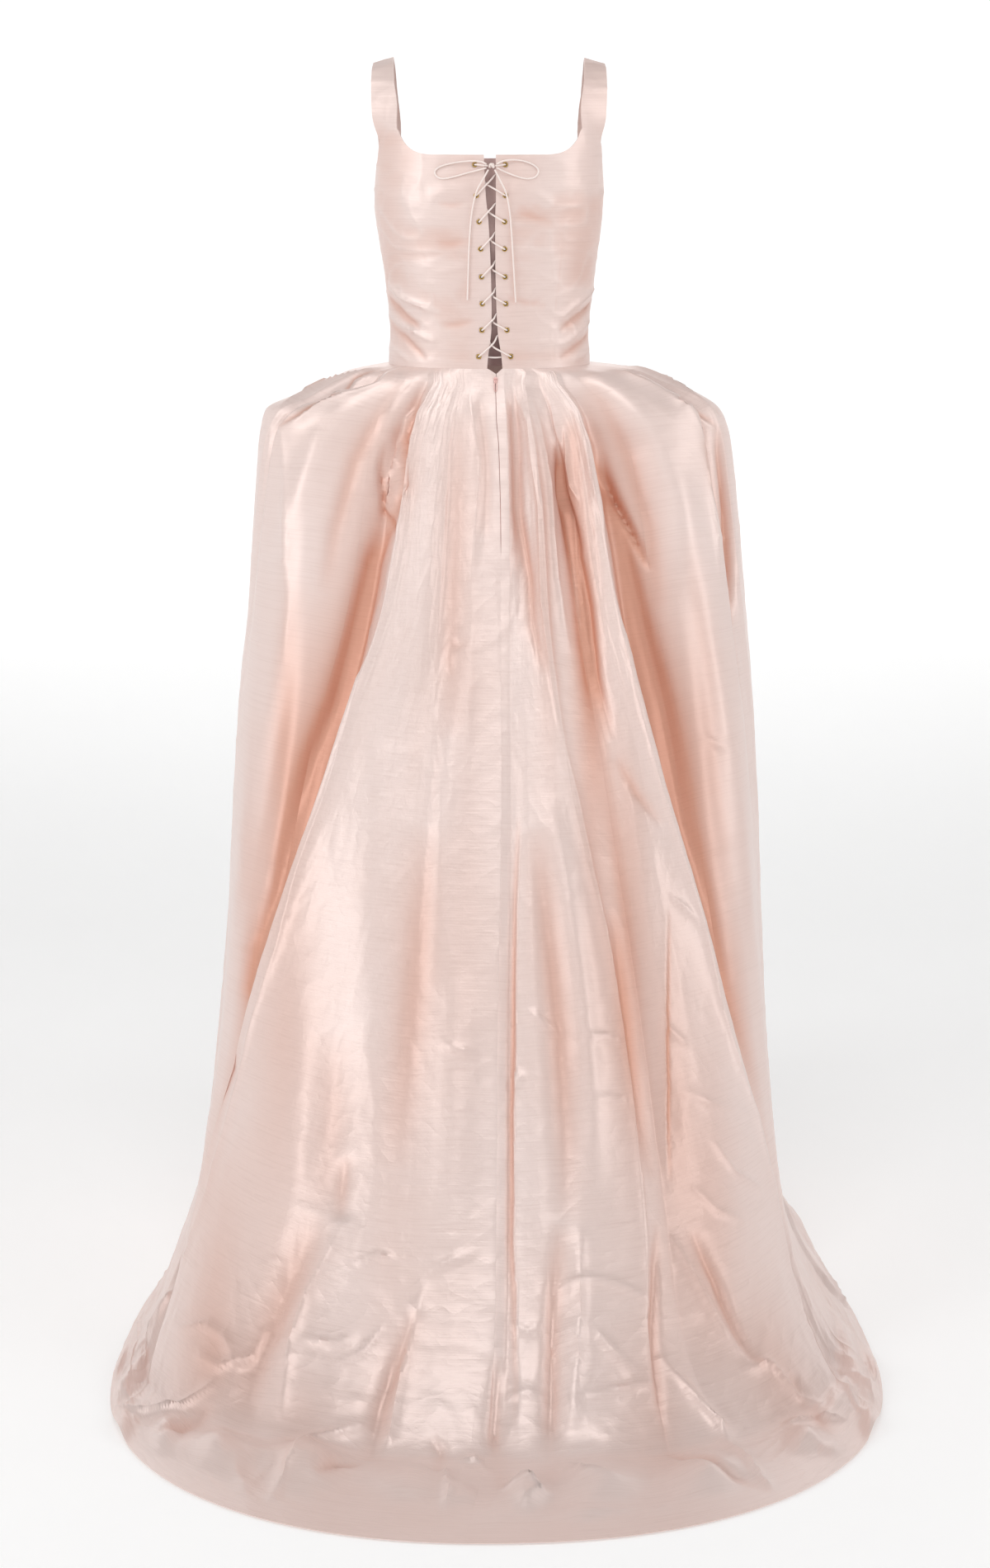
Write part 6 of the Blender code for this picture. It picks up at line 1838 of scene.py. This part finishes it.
class GOWN_OT_stage(Operator):
    """Lays the pale round studio, its soft lights and the camera at the photograph's angle"""
    bl_idname = "gown.stage"
    bl_label = "Stage, lights and camera"

    def execute(self, context):
        scene = context.scene
        paper = paper_finish("studio_paper", tuple(scene.gown_colours.floor), .9, PAPER_GLOW)
        mesh_object("studio_floor", *self.floor(), paper)
        for name, place, aim, wide, tall, power in STUDIO_LIGHTS:
            light = bpy.data.lights.new(name, "AREA")
            light.shape = "RECTANGLE"
            light.size, light.size_y, light.energy = wide, tall, power
            lamp = bpy.data.objects.new(name, light)
            lamp.location = place
            lamp.rotation_euler = (Vector(aim) - Vector(place)).to_track_quat("-Z", "Y").to_euler()
            scene.collection.objects.link(lamp)
        world = bpy.data.worlds.new("studio_sky")
        world.use_nodes = True
        set_inputs(world.node_tree.nodes["Background"], Color=SKY_COLOUR, Strength=SKY_STRENGTH)
        scene.world = world
        lens = bpy.data.cameras.new("camera")
        lens.sensor_width, lens.lens = CAMERA_SENSOR, CAMERA_LENS
        camera = bpy.data.objects.new("camera", lens)
        camera.location = CAMERA_PLACE
        camera.rotation_euler = (math.radians(90 - CAMERA_DIP), 0, math.radians(180))
        scene.collection.objects.link(camera)
        scene.camera = camera
        scene.view_settings.view_transform = "Standard"
        scene.view_settings.look = "None"
        return {"FINISHED"}

    def floor(self):
        """Points and faces of the round floor, which curves up into a wall."""
        rings = [(STUDIO_RADIUS, 0.0)]
        rings += [(STUDIO_RADIUS + STUDIO_CURVE * math.sin(turn),
                   STUDIO_CURVE - STUDIO_CURVE * math.cos(turn))
                  for turn in np.radians(np.arange(STUDIO_STEP, 91, STUDIO_STEP))]
        rings.append((STUDIO_RADIUS + STUDIO_CURVE, STUDIO_TOP))
        low, sides = FLOOR - FLOOR_CLEAR, STUDIO_SIDES
        points, faces = [(0, 0, low)], []
        for radius, rise in rings:
            for turn in (2 * math.pi * k / sides for k in range(sides)):
                points.append((radius * math.cos(turn), radius * math.sin(turn), low + rise))
        for k in range(sides):
            after = (k + 1) % sides
            faces.append((0, 1 + k, 1 + after))
            for ring in range(len(rings) - 1):
                a, b = 1 + ring * sides, 1 + (ring + 1) * sides
                faces.append((a + k, b + k, b + after, a + after))
        return points, faces


class GOWN_OT_lacing(Operator):
    """Threads the satin lace through the sixteen eyelets"""
    bl_idname = "gown.lacing"
    bl_label = "Lacing"

    def execute(self, context):
        points = lace_run_points()
        route = even_route(points, int(route_length(points) / LACE_POINT))
        lace = cord_curve("lace_threaded", route, context.scene.gown_sizes.lace_radius,
                          finishes()["lace_cord"])
        place_piece(lace, "lace_cord", GOWN_BODY, "lace_run")
        return {"FINISHED"}


class GOWN_OT_bow(Operator):
    """Ties the bow at the top: the knot, two loops and two hanging ends"""
    bl_idname = "gown.bow"
    bl_label = "Bow"

    def execute(self, context):
        radius = context.scene.gown_sizes.lace_radius
        finish = finishes()["lace_cord"]
        knot = self.knot(finish)
        for name, far_end in BOW_ENDS.items():
            route = [over_back(*place) for place in BOW_ROUTES[name]]
            points = even_route(route, int(route_length(route) / BOW_POINT))
            piece = cord_curve(name + "_satin", points, radius, finish)
            place_piece(piece, "lace_cord", GOWN_BODY, name)
        place_piece(knot, "lace_cord", GOWN_BODY, "lace_knot")
        return {"FINISHED"}

    def knot(self, finish):
        """Two crossed turns of the lace, pulled tight round each other."""
        centre = over_back(*KNOT_PLACE)
        points, rows, sides = [], 40, 12
        wide, deep, tall = KNOT_SIZE
        for row in range(rows):
            turn = 2 * math.pi * row / rows
            middle = centre + np.array([wide * .52 * math.sin(turn), deep * .55 * math.cos(turn),
                                        tall * .50 * math.sin(2 * turn + KNOT_TWIST)])
            ahead = unit(np.array([wide * .52 * math.cos(turn), -deep * .55 * math.sin(turn),
                                   tall * math.cos(2 * turn + KNOT_TWIST)]))
            side = unit(np.cross(ahead, [0.1, 1, 0.2]))
            upward = np.cross(side, ahead)
            for k in range(sides):
                spin = 2 * math.pi * k / sides
                spoke = side * math.cos(spin) + upward * math.sin(spin)
                points.append(middle + spoke * KNOT_CORD)
        return turn_out(mesh_object("lace_knot_satin", points, tube_faces(rows, sides), finish))


class GOWN_OT_skirt(Operator):
    """Pleats and drapes the five silk panels of the skirt with the train"""
    bl_idname = "gown.skirt"
    bl_label = "Skirt and train"

    def execute(self, context):
        sizes = context.scene.gown_sizes
        form = finish_skirt(skirt_grid(sizes), sizes)
        form["seam_line"] = form["grid"][form["starts"]["seam_centre"]]
        STORE["form"] = form
        for name, start, end in SKIRT_PANELS:
            piece = skirt_piece(form, name + "_silk", start, end, sizes, finishes()["silk"])
            place_piece(piece, "silk", GOWN_BODY, name)
        return {"FINISHED"}


class GOWN_OT_bodice(Operator):
    """Fits the laced back and the plain front of the bodice, with their straps"""
    bl_idname = "gown.bodice"
    bl_label = "Bodice"

    def execute(self, context):
        sizes = context.scene.gown_sizes
        silk = finishes()["silk"]
        for name, side in (("bodice_back_left", 1), ("bodice_back_right", -1)):
            piece = back_panel(name + "_silk", side, sizes, silk)
            cut_holes(piece, side)
            place_piece(piece, "silk", GOWN_BODY, name)
        piece = front_panel("bodice_front_silk", sizes, silk)
        place_piece(piece, "silk", GOWN_BODY, "bodice_front")
        return {"FINISHED"}


class GOWN_OT_placket(Operator):
    """Hangs the placket of the same silk behind the lacing"""
    bl_idname = "gown.placket"
    bl_label = "Placket"

    def execute(self, context):
        piece = modesty_panel(context.scene.gown_sizes, finishes()["silk_shade"])
        place_piece(piece, "silk_shade", GOWN_BODY, "modesty_panel")
        return {"FINISHED"}


class GOWN_OT_eyelets(Operator):
    """Sets eight pairs of rolled eyelets along the gap"""
    bl_idname = "gown.eyelets"
    bl_label = "Eyelets"

    def execute(self, context):
        gold = finishes()["gold_metal"]
        for row, (height, _, _) in enumerate(LACING_ROWS):
            for word, side in (("left", 1), ("right", -1)):
                ring = eyelet(f"eyelet_ring_{word}_{row + 1}", side, height, gold)
                place_piece(ring, "gold_metal", GOWN_BODY, f"eyelet_{word}_{row + 1}")
        return {"FINISHED"}


class GOWN_OT_zip(Operator):
    """Fits the concealed zip: coil, tape, slider and the teardrop pull"""
    bl_idname = "gown.zip"
    bl_label = "Zip"

    def execute(self, context):
        form = STORE["form"]
        pink, tape = finishes()["pink_metal"], finishes()["zip_cord"]
        place_piece(zip_coil(form, tape), "lace_cord", GOWN_BODY)
        frame["nodes"]["zip_tape"].data.materials[0] = tape
        slider = frame["nodes"]["zip_slider"]
        slider.data.materials[0] = pink
        soften = slider.modifiers.new("rounded_edges", "BEVEL")
        soften.width, soften.segments = SLIDER_EDGE, 2
        joints = frame["record"]["behaviour"]["joints"]
        hinge = next(joint for joint in joints if joint["name"] == "pull_hinge")
        bar = np.array(hinge["pos_m"], float)
        low, high = (np.array(corner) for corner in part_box("zip_pull"))
        tip = np.array([bar[0], (low[1] + high[1]) / 2, low[2]])
        tip[1] = high[1] - PULL_WALL if high[1] - bar[1] > bar[1] - low[1] else low[1] + PULL_WALL
        down = unit(tip - bar)
        out = unit(np.cross(down, np.array([1.0, 0, 0])))
        out = out if out[1] > 0 else -out
        ring = pull_ring("zip_pull_ring", bar, down, out, pink)
        place_piece(ring, "pink_metal", PULL_BODY, "zip_pull")
        return {"FINISHED"}


class GOWN_PT_panel(Panel):
    """Lists the gown's pieces, sizes and colours"""
    bl_idname = "GOWN_PT_panel"
    bl_label = "Silk gown"
    bl_space_type = "VIEW_3D"
    bl_region_type = "UI"
    bl_category = "Gown"

    def draw(self, context):
        column = self.layout.column(align=True)
        for operator in OPERATORS:
            column.operator(operator.bl_idname, text=operator.bl_label)
        for group in (context.scene.gown_sizes, context.scene.gown_colours):
            box = self.layout.box()
            for name in type(group).__annotations__:
                box.prop(group, name)


OPERATORS = (GOWN_OT_stage, GOWN_OT_lacing, GOWN_OT_bow, GOWN_OT_skirt, GOWN_OT_bodice,
             GOWN_OT_placket, GOWN_OT_eyelets, GOWN_OT_zip)
CLASSES = (GownSizes, GownColours, *OPERATORS, GOWN_PT_panel)


def register():
    for item in CLASSES:
        bpy.utils.register_class(item)
    bpy.types.Scene.gown_sizes = PointerProperty(type=GownSizes)
    bpy.types.Scene.gown_colours = PointerProperty(type=GownColours)


def unregister():
    del bpy.types.Scene.gown_colours
    del bpy.types.Scene.gown_sizes
    for item in reversed(CLASSES):
        bpy.utils.unregister_class(item)


def main():
    register()
    for operator in OPERATORS:
        group, name = operator.bl_idname.split(".")
        getattr(getattr(bpy.ops, group), name)()


if __name__ == "__main__":
    main()
